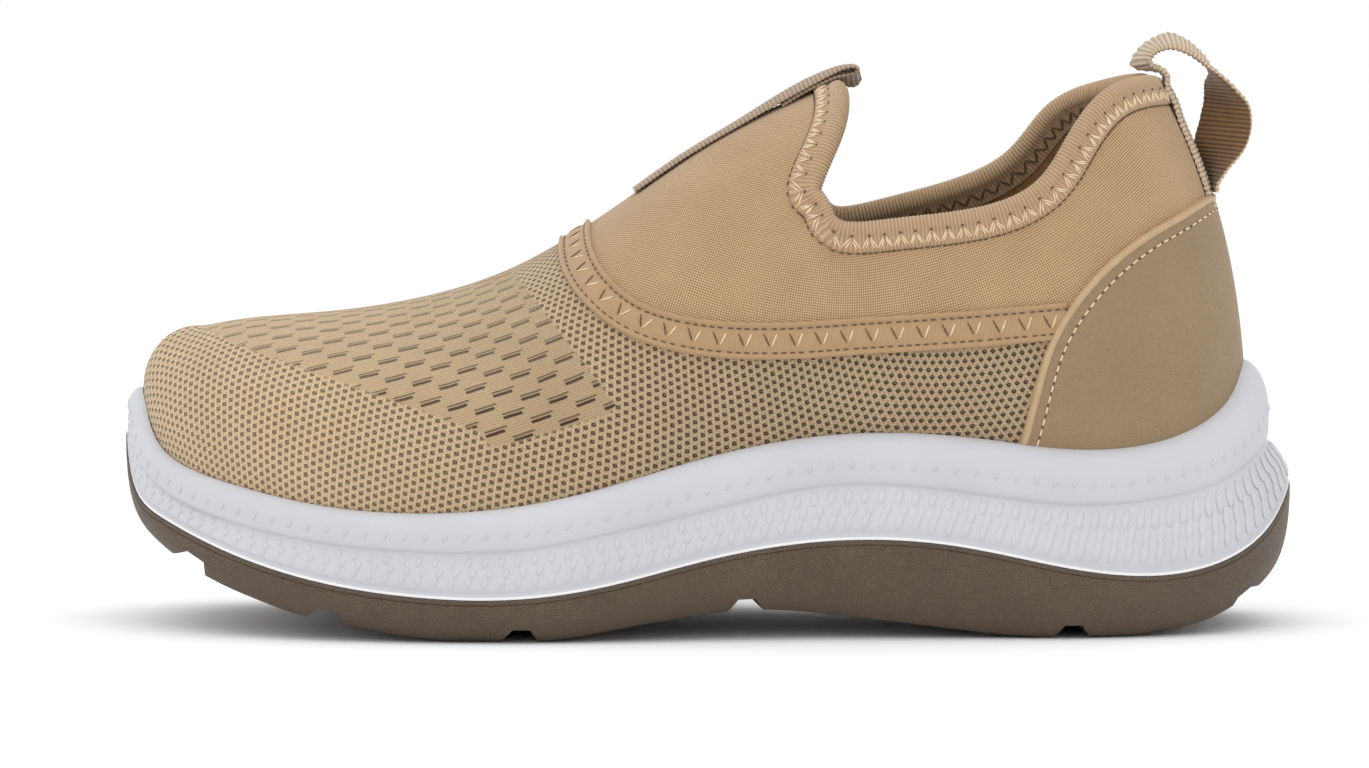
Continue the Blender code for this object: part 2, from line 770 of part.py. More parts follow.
class Sheet:
    """The outer face of the upper as points and faces, with what the overlays need from it."""

    def __init__(self):
        self.points = []
        self.index = {}
        for i, rows in enumerate(COLUMNS):
            for j, point in enumerate(rows):
                twin = (len(COLUMNS) - i) % len(COLUMNS)
                if j == COLLAR_ROW + ARCH_ROWS and (twin, j) in self.index:
                    self.index[(i, j)] = self.index[(twin, j)]
                    continue
                self.index[(i, j)] = len(self.points)
                self.points.append(point)
        self.faces = []
        self.cells = []
        for i in range(len(COLUMNS)):
            k = (i + 1) % len(COLUMNS)
            for j in range(min(len(COLUMNS[i]), len(COLUMNS[k])) - 1):
                low = (self.index[(i, j)], self.index[(k, j)])
                high = (self.index[(i, j + 1)], self.index[(k, j + 1)])
                for face in ((low[0], low[1], high[1]), (low[0], high[1], high[0])):
                    if len(set(face)) == 3:
                        self.faces.append(face)
                        self.cells.append((i, j))
        self.normals = self.point_normals()

    def point_normals(self):
        normals = [Vector((0.0, 0.0, 0.0)) for point in self.points]
        for face in self.faces:
            a, b, c = (self.points[i] for i in face)
            turn = (b - a).cross(c - a)
            for i in face:
                normals[i] += turn
        return [normal.normalized() for normal in normals]


SHEET = Sheet()


def shell(points, normals, faces, low, high):
    """A closed solid between two offsets of a sheet, its open edges walled."""
    used = sorted({i for face in faces for i in face})
    order = {old: new for new, old in enumerate(used)}
    count = len(used)
    solid_points = [points[i] + normals[i] * high for i in used]
    solid_points += [points[i] + normals[i] * low for i in used]
    solid_faces = []
    edges = {}
    for face in faces:
        ids = [order[i] for i in face]
        solid_faces.append(tuple(ids))
        solid_faces.append(tuple(i + count for i in ids[::-1]))
        for a, b in zip(ids, ids[1:] + ids[:1]):
            edges[(a, b)] = True
    for a, b in edges:
        if (b, a) not in edges:
            solid_faces.append((b, a, a + count, b + count))
    return solid_points, solid_faces


def make_upper():
    """One hollow wall, open at the collar and underneath."""
    points, faces = shell(SHEET.points, SHEET.normals, SHEET.faces, -UPPER_WALL, 0.0)
    return finished("upper", points, faces, (0.60, 0.45, 0.29), 0.9)


def raised_sheet(keep, start):
    """The part of the outer face that an overlay lies on, its lowest row lifted clear of the rim."""
    points = list(SHEET.points)
    for i in range(len(COLUMNS)):
        low = SHEET.index[(i, 1)]
        high = SHEET.index[(i, 2)]
        share = start / (SHEET.points[high] - SHEET.points[low]).length
        points[low] = SHEET.points[low].lerp(SHEET.points[high], share)
    faces = [face for face, (i, j) in zip(SHEET.faces, SHEET.cells) if j >= 1 and keep(i, j)]
    return points, faces


def prism(name, outline):
    """A cutter that runs right across the shoe, its outline seen from the side."""
    count = len(outline)
    half = BALL_WIDTH
    points = [(x, -half, z) for x, z in outline] + [(x, half, z) for x, z in outline]
    faces = [tuple(range(count)), tuple(range(2 * count - 1, count - 1, -1))]
    for i in range(count):
        j = (i + 1) % count
        faces.append((j, i, i + count, j + count))
    cutter = finished(name, points, faces, (1.0, 0.0, 0.0), 0.5, smooth=False)
    cutter.hide_render = True
    cutter.display_type = "WIRE"
    return cutter


def side_curve(rows):
    """Points of a smooth side outline."""
    curve = edge_curve([(place(along), height * COLLAR_HEIGHT) for along, height in rows])
    return [tuple(curve(k / OUTLINE_PIECES)) for k in range(OUTLINE_PIECES + 1)]


def cut_overlay(name, keep, low, high, outline, colour, roughness):
    """An overlay: a layer over the upper's own face, kept only inside a side outline."""
    points, faces = raised_sheet(keep, 2.0 * FIT_GAP)
    points, faces = shell(points, SHEET.normals, faces, low, high)
    overlay = finished(name, points, faces, colour, roughness)
    cutter = prism(name + "_cutter", outline)
    cut = overlay.modifiers.new("side outline", "BOOLEAN")
    cut.operation = "INTERSECT"
    cut.solver = "EXACT"
    cut.object = cutter
    return overlay


def make_heel_counter():
    """Synthetic leather overlay wrapped round the heel, its front edge swept up to the back."""
    edge = side_curve(COUNTER_EDGE)
    back = 0.6 * SHOE_LENGTH
    outline = edge + [(back, edge[-1][1]), (back, 0.0), (edge[0][0], 0.0)]

    def keep(i, j):
        angle = STATIONS[i]
        return COUNTER_FROM <= min(angle, 360.0 - angle) and j < LOW_ROWS

    top = FIT_GAP + COUNTER_THICKNESS
    return cut_overlay("heel_counter", keep, FIT_GAP, top, outline, (0.40, 0.30, 0.20), 0.5)


def make_instep_band():
    """Sewn tape over the seam between knit and collar fabric, ending at the counter."""
    upper_edge = side_curve(BAND_TOP)
    lower_edge = side_curve(BAND_LOW)
    counter = [(x - 2.0 * FIT_GAP, z) for x, z in side_curve(COUNTER_EDGE)]
    upper_edge = [point for point in upper_edge if not behind(point, counter)]
    lower_edge = [point for point in lower_edge if not behind(point, counter)]
    end = [meet(upper_edge[-1], counter), meet(lower_edge[-1], counter)]
    outline = upper_edge + end + lower_edge[::-1]

    def keep(i, j):
        angle = STATIONS[i]
        return BAND_FROM <= min(angle, 360.0 - angle) <= BAND_TO

    top = FIT_GAP + BAND_THICKNESS
    return cut_overlay("instep_band", keep, FIT_GAP, top, outline, (0.55, 0.41, 0.26), 0.8)


def edge_x(counter, height):
    heights = [z for x, z in counter]
    return float(np.interp(height, heights, [x for x, z in counter]))


def behind(point, counter):
    return point[0] >= edge_x(counter, point[1])


def meet(point, counter):
    """Where a level line from the point reaches the counter's edge."""
    return (edge_x(counter, point[1]), point[1])


def in_binding(i, j):
    """Whether a cell of the sheet lies within the binding: beside the tongue's edge or under the collar's."""
    beside_tongue = i in (FOOT_OF_TONGUE - 1, len(STATIONS) - FOOT_OF_TONGUE)
    behind_tongue = FOOT_OF_TONGUE <= i < len(STATIONS) - FOOT_OF_TONGUE
    return (beside_tongue and j >= COLLAR_ROW - 1) or (behind_tongue and j == COLLAR_ROW - 1)


def edge_directions():
    """At each point of the opening's edge, the direction that leads out of the wall."""
    found = {}
    count = len(STATIONS)
    last = COLLAR_ROW + ARCH_ROWS

    def step(edge, deep):
        return (SHEET.points[SHEET.index[edge]] - SHEET.points[SHEET.index[deep]]).normalized()

    for i in range(FOOT_OF_TONGUE + 1, count - FOOT_OF_TONGUE):
        found[SHEET.index[(i, COLLAR_ROW)]] = step((i, COLLAR_ROW), (i, COLLAR_ROW - 1))
    for i, deep in ((FOOT_OF_TONGUE, FOOT_OF_TONGUE - 1), (count - FOOT_OF_TONGUE, count - FOOT_OF_TONGUE + 1)):
        for j in range(COLLAR_ROW + 1, last + 1):
            found[SHEET.index[(i, j)]] = step((i, j), (deep, j))
        up = step((i, COLLAR_ROW), (i, COLLAR_ROW - 1))
        back = step((i, COLLAR_ROW), (deep, COLLAR_ROW))
        found[SHEET.index[(i, COLLAR_ROW)]] = (up + back) / (1.0 + up.dot(back))
    return found


def make_collar_binding():
    """Bound edge: a folded strip that wraps the wall's edge all round the opening."""
    inner_gap = UPPER_WALL + BINDING_GAP
    outer_face = BINDING_GAP + BINDING_THICKNESS
    inner_face = UPPER_WALL + outer_face
    leave = edge_directions()
    zone = [face for face, cell in zip(SHEET.faces, SHEET.cells) if in_binding(*cell)]
    used = sorted({i for face in zone for i in face})
    points = []
    at = {}
    for i in used:
        spot = SHEET.points[i]
        out = SHEET.normals[i]
        clear = leave[i] * BINDING_GAP if i in leave else Vector((0.0, 0.0, 0.0))
        at[i] = len(points)
        points += [spot + out * outer_face, spot + clear + out * BINDING_GAP]
        points += [spot + clear - out * inner_gap, spot - out * inner_face]
        if i in leave:
            crown = leave[i] * outer_face
            points += [spot + crown, spot + crown * 1.5 - out * (UPPER_WALL * 0.5)]
            points += [spot + crown - out * UPPER_WALL]
    faces = []
    edges = set()
    for face in zone:
        a, b, c = (at[i] for i in face)
        faces += [(a, b, c), (c + 1, b + 1, a + 1), (a + 2, b + 2, c + 2), (c + 3, b + 3, a + 3)]
        edges |= {(face[0], face[1]), (face[1], face[2]), (face[2], face[0])}
    for first, second in edges:
        if (second, first) in edges:
            continue
        a = at[first]
        b = at[second]
        if first in leave and second in leave:
            rows = [0, 4, 5, 6, 3]
            faces += [(b + low, a + low, a + high, b + high) for low, high in zip(rows, rows[1:])]
            faces.append((b + 2, a + 2, a + 1, b + 1))
        else:
            faces += [(b, a, a + 1, b + 1), (b + 2, a + 2, a + 3, b + 3)]
    return finished("collar_binding", points, faces, (0.58, 0.43, 0.27), 0.85)


def strap(name, path, width, thickness, colour):
    """Webbing along a path of middle points, each with its width direction and its face direction."""
    points = []
    for point, across, face in path:
        half = across * (width * 0.5)
        thick = face * (thickness * 0.5)
        points += [point - half - thick, point + half - thick, point + half + thick, point - half + thick]
    faces = []
    for i in range(len(path) - 1):
        first = 4 * i
        for corner in range(4):
            following = (corner + 1) % 4
            faces.append((first + corner, first + following, first + 4 + following, first + 4 + corner))
    last = 4 * (len(path) - 1)
    faces.append((0, 1, 2, 3))
    faces.append((last + 3, last + 2, last + 1, last))
    return finished(name, points, faces, colour, 0.85)


def heel_leg():
    """The leg of the pull loop: from just above the counter up the middle of the heel to the collar."""
    heel = STATIONS.index(180)
    on_cloth = FIT_GAP + WEBBING_THICKNESS * 0.5
    on_binding = on_cloth + BINDING_GAP + BINDING_THICKNESS
    spots = []
    for j in range(COLLAR_ROW - LEG_ROWS, COLLAR_ROW + 1):
        i = SHEET.index[(heel, j)]
        lift = on_cloth if j < COLLAR_ROW - 1 else on_binding
        spots.append(SHEET.points[i] + SHEET.normals[i] * lift)
    spots[0] = spots[1].lerp(spots[0], LEG_START)
    return [(spot.x, spot.z, 0.0) for spot in spots]


def make_heel_loop():
    """Pull loop of webbing: up the back of the heel, over the collar and back down, turned on the way."""
    heel_x = place(COLLAR[-1][0])
    heel_z = COLLAR_HEIGHT * COLLAR[-1][3]
    rows = heel_leg() + [(heel_x + back, heel_z + up, twist * 0.001) for back, up, twist in LOOP]
    curve = edge_curve(rows)
    spots = [curve(k / LOOP_PIECES) for k in range(LOOP_PIECES + 1)]
    path = []
    for k in range(LOOP_PIECES + 1):
        before = spots[max(k - 1, 0)]
        after = spots[min(k + 1, LOOP_PIECES)]
        run = Vector((after[0] - before[0], 0.0, after[1] - before[1])).normalized()
        turn = math.radians(spots[k][2] / 0.001)
        level = Vector((0.0, 1.0, 0.0))
        side = run.cross(level)
        across = level * math.cos(turn) + side * math.sin(turn)
        face = run.cross(across)
        path.append((Vector((spots[k][0], middle(heel_x), spots[k][1])), across, face))
    return strap("heel_loop", path, LOOP_WIDTH, WEBBING_THICKNESS, (0.42, 0.30, 0.19))


def make_front_tab():
    """Webbing strip up the middle of the instep, over the bound edge, its end curled under."""
    tree = BVHTree.FromPolygons(SHEET.points, SHEET.faces)
    last = COLLAR_ROW + ARCH_ROWS
    ridge = [SHEET.index[(i, last)] for i in range(FOOT_OF_TONGUE + 1)]
    start = place(TAB_START)
    on_cloth = FIT_GAP + TAB_THICKNESS * 0.5
    on_binding = on_cloth + BINDING_GAP + BINDING_THICKNESS
    rows = []
    drops = []
    for i, (a, b) in enumerate(zip(ridge, ridge[1:])):
        for share in (0.0, 0.5):
            lift = on_cloth if i + share < FOOT_OF_TONGUE - 1.5 else on_binding
            spot = SHEET.points[a].lerp(SHEET.points[b], share)
            out = SHEET.normals[a].lerp(SHEET.normals[b], share).normalized()
            if spot.x >= start:
                drops = [drop_beside(tree, spot, out, y) for y in across_tab()]
                rows.append(tab_row(spot + out * lift, out, drops))
    edge = SHEET.points[ridge[-1]]
    out = SHEET.normals[ridge[-1]]
    ahead = (edge - SHEET.points[ridge[-2]]).normalized()
    for reach, sink in TAB_CURL:
        rows.append(tab_row(edge + out * (on_binding - sink) + ahead * reach, out, drops))
    return ribbon("front_tab", rows, TAB_THICKNESS, (0.45, 0.33, 0.21))


def across_tab():
    """The places across the strip, from edge to edge."""
    return [TAB_WIDTH * (k / TAB_PIECES - 0.5) for k in range(TAB_PIECES + 1)]


def drop_beside(tree, spot, out, y):
    """How far the upper's face falls away beside a point of the instep's middle line."""
    beside = spot + Vector((0.0, y, 0.0))
    hit = tree.ray_cast(beside + out * TAB_WIDTH, -out)[0]
    return (hit - beside).dot(out)


def tab_row(middle_point, out, drops):
    return [middle_point + Vector((0.0, y, 0.0)) + out * drop for y, drop in zip(across_tab(), drops)]


def ribbon(name, rows, thickness, colour):
    """A closed strip of even thickness around rows of middle points, each row level across."""
    low = []
    high = []
    across = len(rows[0])
    for i, row in enumerate(rows):
        before = rows[max(i - 1, 0)]
        after = rows[min(i + 1, len(rows) - 1)]
        for k, point in enumerate(row):
            run = after[k] - before[k]
            face = run.cross(Vector((0.0, 1.0, 0.0))).normalized() * (thickness * 0.5)
            low.append(point - face)
            high.append(point + face)
    count = len(low)
    faces = []
    for i in range(len(rows) - 1):
        first = i * across
        for k in range(first, first + across - 1):
            faces.append((k, k + 1, k + across + 1, k + across))
            faces.append((k + count, k + across + count, k + across + 1 + count, k + 1 + count))
        for k in (first, first + across - 1):
            faces.append((k, k + across, k + across + count, k + count))
    for first in (0, count - across):
        for k in range(first, first + across - 1):
            faces.append((k, k + 1, k + 1 + count, k + count))
    return finished(name, low + high, faces, colour, 0.85)


def build():
    for thing in list(bpy.data.objects):
        bpy.data.objects.remove(thing)
    make_outsole()
    make_midsole()
    make_insole()
    make_upper()
    make_heel_counter()
    make_instep_band()
    make_collar_binding()
    make_heel_loop()
    make_front_tab()


build()
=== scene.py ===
"""Slip-on walking sneaker, a left shoe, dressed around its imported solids: metres, +Z up, toe to -X."""

import math

import bmesh
import bpy
import numpy as np
from mathutils import Matrix, Vector
from mathutils.bvhtree import BVHTree
from mathutils.geometry import barycentric_transform


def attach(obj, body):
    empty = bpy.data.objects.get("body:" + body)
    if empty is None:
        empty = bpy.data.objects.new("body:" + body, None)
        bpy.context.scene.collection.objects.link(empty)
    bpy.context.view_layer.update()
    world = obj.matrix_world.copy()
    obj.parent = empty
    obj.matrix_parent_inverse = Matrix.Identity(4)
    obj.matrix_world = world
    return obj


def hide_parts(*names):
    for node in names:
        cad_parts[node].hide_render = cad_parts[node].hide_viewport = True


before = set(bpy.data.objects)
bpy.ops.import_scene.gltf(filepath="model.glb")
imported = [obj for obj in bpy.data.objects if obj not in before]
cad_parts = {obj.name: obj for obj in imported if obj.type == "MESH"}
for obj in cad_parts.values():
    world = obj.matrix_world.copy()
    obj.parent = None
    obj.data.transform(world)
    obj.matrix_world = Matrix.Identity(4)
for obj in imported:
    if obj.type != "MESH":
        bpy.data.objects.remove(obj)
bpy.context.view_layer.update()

# Camera: turned on the shoe's middle from its outer side, a little above it.
VIEW_TARGET = Vector((-0.0054, 0.0, 0.0571))
VIEW_RISE = math.radians(3.5)
VIEW_DISTANCE = 1.300
FILM_WIDTH = 36.0
LENS_LENGTH = 142.37
back_off = Vector((0.0, -math.cos(VIEW_RISE), math.sin(VIEW_RISE))) * VIEW_DISTANCE
tilt = math.radians(90.0) - VIEW_RISE
bpy.ops.object.camera_add(location=VIEW_TARGET + back_off, rotation=(tilt, 0.0, 0.0))
camera = bpy.context.object
camera.name = "side_camera"
camera.data.sensor_width = FILM_WIDTH
camera.data.lens = LENS_LENGTH
bpy.context.scene.camera = camera

# Studio: a white paper floor under a large soft box, a weaker one beside the camera and pale air.
bpy.ops.mesh.primitive_plane_add(size=8.0, location=(0.0, 0.0, -0.0002))
floor = bpy.context.object
floor.name = "studio_floor"
bpy.ops.object.light_add(type="AREA", location=(-0.15, -0.25, 1.3), rotation=(math.radians(10.0), 0.0, 0.0))
top_light = bpy.context.object
top_light.data.shape = "RECTANGLE"
top_light.data.size = 1.6
top_light.data.size_y = 1.0
top_light.data.energy = 4.0
bpy.ops.object.light_add(type="AREA", location=(-0.7, -1.5, 0.6))
side_light = bpy.context.object
to_shoe = Vector((0.0, 0.0, 0.05)) - side_light.location
side_light.rotation_euler = to_shoe.to_track_quat("-Z", "Y").to_euler()
side_light.data.size = 1.0
side_light.data.energy = 1.0
world = bpy.data.worlds.new("pale_air")
world.use_nodes = True
world.node_tree.nodes["Background"].inputs["Color"].default_value = (1.0, 1.0, 1.0, 1.0)
world.node_tree.nodes["Background"].inputs["Strength"].default_value = 1.0
bpy.context.scene.world = world
bpy.context.scene.view_settings.view_transform = "Standard"


class Wire:
    """A socket in a material: sums on it add Math nodes, and node() adds any other node."""

    def __init__(self, tree, socket):
        self.tree = tree
        self.socket = socket

    def node(self, kind, settings=(), inputs=(), output=0):
        made = self.tree.nodes.new("ShaderNode" + kind)
        for key, value in dict(settings).items():
            setattr(made, key, value)
        for key, value in dict(inputs).items():
            if isinstance(value, Wire):
                self.tree.links.new(value.socket, made.inputs[key])
            else:
                made.inputs[key].default_value = value
        return Wire(self.tree, made.outputs[output])

    def math(self, operation, *values):
        return self.node("Math", {"operation": operation}, enumerate(values))

    def __add__(self, other):
        return self.math("ADD", self, other)

    def __radd__(self, other):
        return self.math("ADD", other, self)

    def __sub__(self, other):
        return self.math("SUBTRACT", self, other)

    def __rsub__(self, other):
        return self.math("SUBTRACT", other, self)

    def __mul__(self, other):
        return self.math("MULTIPLY", self, other)

    def __rmul__(self, other):
        return self.math("MULTIPLY", other, self)

    def __truediv__(self, other):
        return self.math("DIVIDE", self, other)

    def sine(self):
        return self.math("SINE", self)

    def size(self):
        return self.math("ABSOLUTE", self)

    def root(self):
        return self.math("SQRT", self)

    def fraction(self):
        return self.math("FRACT", self)

    def most(self, other):
        return self.math("MAXIMUM", self, other)

    def clip(self):
        return self.node("Clamp", {}, {"Value": self})

    def rise(self, low, high):
        """0 below low, 1 above high, smooth between them."""
        limits = {"Value": self, "From Min": low, "From Max": high}
        return self.node("MapRange", {"interpolation_type": "SMOOTHSTEP"}, limits)

    def choose(self, without, with_it):
        """A colour between two, by this share."""
        settings = {"data_type": "RGBA"}
        return self.node("Mix", settings, {0: self, 6: without, 7: with_it}, 2)

    def noise(self, coordinates, scale, detail=3.0):
        return self.node("TexNoise", {}, {"Vector": coordinates, "Scale": scale, "Detail": detail})

    def part(self, axis):
        """One of the three numbers of a place."""
        return self.node("SeparateXYZ", {}, {0: self}, axis)

    def places(self):
        """Places on the piece in metres."""
        return self.node("TexCoord", {}, {}, "Object")

    def cloth_places(self):
        """Places on the cloth laid flat, in metres."""
        return self.node("UVMap", {"uv_map": "cloth"})

    def shares_of(self, name):
        return self.node("Attribute", {"attribute_name": name}, {}, "Fac")


def dye(red, green, blue):
    """A colour as it is seen, 0 to 255, made linear."""
    shares = [part / 255.0 for part in (red, green, blue)]
    return tuple(s / 12.92 if s < 0.04045 else ((s + 0.055) / 1.055) ** 2.4 for s in shares) + (1.0,)


def finish(name, **fixed):
    """A new material with its fixed sockets, and the wire that its pattern starts from."""
    made = bpy.data.materials.new(name)
    made.use_nodes = True
    shader = made.node_tree.nodes["Principled BSDF"]
    for socket, value in fixed.items():
        shader.inputs[socket.replace("_", " ")].default_value = value
    return made, Wire(made.node_tree, shader.outputs[0])


def feed(made, colour=None, roughness=None, height=None, depth=0.0002, strength=1.0):
    """Links a pattern into a material: its colour, its roughness and its relief."""
    tree = made.node_tree
    shader = tree.nodes["Principled BSDF"]
    for wire, socket in ((colour, "Base Color"), (roughness, "Roughness")):
        if wire is not None:
            tree.links.new(wire.socket, shader.inputs[socket])
    if height is not None:
        bump = height.node("Bump", {}, {"Height": height, "Strength": strength, "Distance": depth})
        tree.links.new(bump.socket, shader.inputs["Normal"])


paper, wire = finish("floor_paper", Roughness=0.9)
paper.node_tree.nodes["Principled BSDF"].inputs["Base Color"].default_value = (1.0, 1.0, 1.0, 1.0)
floor.data.materials.append(paper)


# Upper: one sewn bootie of engineered knit with a foam-backed cloth collar, lasted over the foam sole
# and glued down behind its rim. It is lofted here from the same sections as its solid, only finer.
SHOE_LENGTH = 0.2804
BALL_WIDTH = 0.1035
RIM_HEIGHT = 0.0632
TONGUE_HEIGHT = 0.1300
COLLAR_HEIGHT = 0.1300
COLLAR_WIDTH = 0.0610
INNER_SIDE_RISE = 0.0030
FIT_GAP = 0.0003
UPPER_WALL = 0.0025
RIM_INSET = 0.0123
BEAD_INSET = 0.0052
GROOVE_DEPTH = 0.0009
TUCK = 0.0012
BINDING_DEPTH = 0.0068
QUARTER_RISE = 0.33
VAMP_SPLIT = 0.56
THROAT = 98
WALL_ROWS = 28
EDGE_ROWS = 4
ARCH_ROWS = 14
COLLAR_ROW = WALL_ROWS + EDGE_ROWS + 1
FINE = 8

SOLE = [
    # along, outer, inner, rim, groove, lip, rim_inset, bead_inset, crease, arch
    (0.000, 0.058, 0.058, 0.886, 0.790, 0.715, 0.33, 0.12, 0.0, 0.0),
    (0.004, -0.034, 0.150, 0.846, 0.730, 0.615, 0.34, 0.14, 0.1, 0.0),
    (0.012, -0.102, 0.220, 0.748, 0.640, 0.515, 0.35, 0.16, 0.5, 0.0),
    (0.040, -0.226, 0.342, 0.628, 0.511, 0.418, 0.38, 0.23, 1.0, 0.0),
    (0.100, -0.366, 0.424, 0.551, 0.418, 0.309, 0.44, 0.33, 1.0, 0.0),
    (0.180, -0.460, 0.466, 0.487, 0.354, 0.212, 0.50, 0.38, 1.0, 0.1),
    (0.270, -0.512, 0.482, 0.470, 0.328, 0.163, 0.53, 0.40, 1.0, 0.2),
    (0.340, -0.522, 0.473, 0.494, 0.334, 0.160, 0.55, 0.42, 1.0, 0.4),
    (0.420, -0.505, 0.440, 0.565, 0.394, 0.209, 0.58, 0.46, 1.0, 0.7),
    (0.500, -0.471, 0.396, 0.665, 0.473, 0.297, 0.64, 0.53, 1.0, 1.0),
    (0.600, -0.443, 0.360, 0.746, 0.562, 0.364, 0.74, 0.62, 1.0, 1.0),
    (0.700, -0.435, 0.356, 0.745, 0.544, 0.348, 0.82, 0.73, 1.0, 0.6),
    (0.800, -0.430, 0.370, 0.696, 0.489, 0.261, 0.90, 0.85, 1.0, 0.2),
    (0.880, -0.386, 0.351, 0.706, 0.503, 0.229, 0.95, 0.92, 1.0, 0.0),
    (0.940, -0.300, 0.285, 0.772, 0.551, 0.282, 0.98, 0.97, 0.9, 0.0),
    (0.980, -0.176, 0.176, 0.876, 0.630, 0.400, 1.00, 1.00, 0.7, 0.0),
    (0.995, -0.088, 0.088, 0.970, 0.680, 0.496, 1.00, 1.00, 0.6, 0.0),
    (1.000, 0.000, 0.000, 1.000, 0.696, 0.530, 1.00, 1.00, 0.6, 0.0),
]
PROFILE = [
    # along, tread, bed
    (0.000, 0.700, 0.600),
    (0.010, 0.450, 0.580),
    (0.024, 0.380, 0.550),
    (0.058, 0.266, 0.470),
    (0.093, 0.184, 0.410),
    (0.129, 0.126, 0.365),
    (0.161, 0.082, 0.335),
    (0.197, 0.054, 0.318),
    (0.229, 0.027, 0.310),
    (0.293, -0.004, 0.305),
    (0.365, -0.004, 0.318),
    (0.430, 0.043, 0.350),
    (0.490, 0.085, 0.400),
    (0.543, 0.104, 0.440),
    (0.610, 0.081, 0.478),
    (0.680, 0.043, 0.498),
    (0.743, 0.010, 0.508),
    (0.790, -0.004, 0.512),
    (0.845, -0.004, 0.515),
    (0.878, 0.013, 0.518),
    (0.914, 0.040, 0.520),
    (0.950, 0.110, 0.522),
    (0.970, 0.166, 0.524),
    (0.985, 0.225, 0.526),
    (1.000, 0.420, 0.528),
]
RIDGE = [
    # angle, along, height in shares of TONGUE_HEIGHT
    (0, 0.065, 0.545),
    (15, 0.073, 0.547),
    (30, 0.103, 0.558),
    (45, 0.160, 0.569),
    (60, 0.238, 0.591),
    (72, 0.332, 0.652),
    (84, 0.439, 0.793),
    (92, 0.529, 0.919),
    (98, 0.611, 1.000),
]
VAMP = [
    # angle, rise, lean, shoulder
    (0, 0.50, 0.0005, 0.62),
    (15, 0.55, 0.0020, 0.62),
    (30, 0.60, 0.0030, 0.62),
    (45, 0.62, 0.0038, 0.62),
    (60, 0.60, 0.0042, 0.60),
    (72, 0.58, 0.0045, 0.58),
    (84, 0.50, 0.0048, 0.58),
    (92, 0.44, 0.0050, 0.60),
]
QUARTER = [
    # angle, reach, lean, flare
    (98, 0.000, 0.0040, 0.0080),
    (105, 0.075, 0.0042, 0.0060),
    (113, 0.195, 0.0042, 0.0050),
    (122, 0.355, 0.0042, 0.0050),
    (132, 0.510, 0.0036, 0.0050),
    (142, 0.645, 0.0028, 0.0060),
    (153, 0.770, 0.0012, 0.0075),
    (165, 0.885, -0.0006, 0.0108),
    (180, 1.000, -0.0018, 0.0130),
]
TONGUE_EDGE = [
    # along, spread, height in shares of TONGUE_HEIGHT
    (0.588, 0.475, 0.796),
    (0.595, 0.451, 0.842),
    (0.605, 0.402, 0.896),
    (0.612, 0.311, 0.946),
    (0.613, 0.164, 0.987),
    (0.611, 0.000, 1.000),
]
COLLAR = [
    # outer along, inner along, spread, outer height, inner height in shares of COLLAR_HEIGHT
    (0.588, 0.588, 0.475, 0.796, 0.796),
    (0.594, 0.594, 0.489, 0.758, 0.766),
    (0.612, 0.610, 0.495, 0.742, 0.754),
    (0.653, 0.646, 0.500, 0.742, 0.762),
    (0.703, 0.689, 0.497, 0.753, 0.785),
    (0.744, 0.725, 0.485, 0.774, 0.809),
    (0.773, 0.754, 0.469, 0.802, 0.836),
    (0.792, 0.773, 0.449, 0.842, 0.877),
    (0.807, 0.789, 0.423, 0.900, 0.922),
    (0.821, 0.808, 0.393, 0.949, 0.960),
    (0.842, 0.836, 0.341, 0.981, 0.985),
    (0.866, 0.862, 0.238, 0.997, 1.001),
    (0.880, 0.879, 0.123, 1.002, 1.002),
    (0.8845, 0.8845, 0.000, 0.999, 0.999),
]


class Curve:
    """A smooth curve through the rows of a table, closed where a period is given."""

    def __init__(self, keys, values, period=0.0):
        keys = np.array(keys, dtype=float)
        values = np.array(values, dtype=float)
        if period:
            keys = np.concatenate([keys - period, keys, keys + period])
            values = np.concatenate([values, values, values])
        gaps = np.diff(keys)
        slopes = np.diff(values, axis=0) / gaps[:, None]
        matrix = np.eye(len(keys))
        right = np.zeros_like(values)
        for i in range(1, len(keys) - 1):
            matrix[i, i - 1] = gaps[i - 1]
            matrix[i, i] = 2.0 * (gaps[i - 1] + gaps[i])
            matrix[i, i + 1] = gaps[i]
            right[i] = 6.0 * (slopes[i] - slopes[i - 1])
        self.keys = keys
        self.values = values
        self.bends = np.linalg.solve(matrix, right)

    def __call__(self, key):
        i = int(np.clip(np.searchsorted(self.keys, key) - 1, 0, len(self.keys) - 2))
        gap = self.keys[i + 1] - self.keys[i]
        a = (self.keys[i + 1] - key) / gap
        b = 1.0 - a
        straight = a * self.values[i] + b * self.values[i + 1]
        bend = (a**3 - a) * self.bends[i] + (b**3 - b) * self.bends[i + 1]
        return straight + bend * gap * gap / 6.0


def angle_at(along):
    return math.degrees(math.acos(1.0 - 2.0 * along))


def both_sides(rows, outer_values, inner_values):
    """A closed curve around the sole from rows that each give an outer and an inner section."""
    keys = []
    values = []
    for row in rows:
        keys.append(angle_at(row[0]))
        values.append(outer_values(row))
    for row in rows[-2:0:-1]:
        keys.append(360.0 - angle_at(row[0]))
        values.append(inner_values(row))
    return Curve(keys, values, 360.0)


SOLE_CURVE = both_sides(
    SOLE,
    lambda row: (row[1], *row[3:9], 0.0),
    lambda row: (row[2], *row[3:9], row[9]),
)
PROFILE_CURVE = Curve([angle_at(row[0]) for row in PROFILE], [row[1:] for row in PROFILE])
RIDGE_CURVE = Curve([row[0] for row in RIDGE], [row[1:] for row in RIDGE])
EDGE_SHARES = [float(SOLE_CURVE(angle)[0]) for angle in range(360)]
CENTRE = (max(EDGE_SHARES) + min(EDGE_SHARES)) / 2.0
TOE_SIDE = (SOLE[0][1] - CENTRE) * BALL_WIDTH
HEEL_SIDE = (SOLE[-1][1] - CENTRE) * BALL_WIDTH


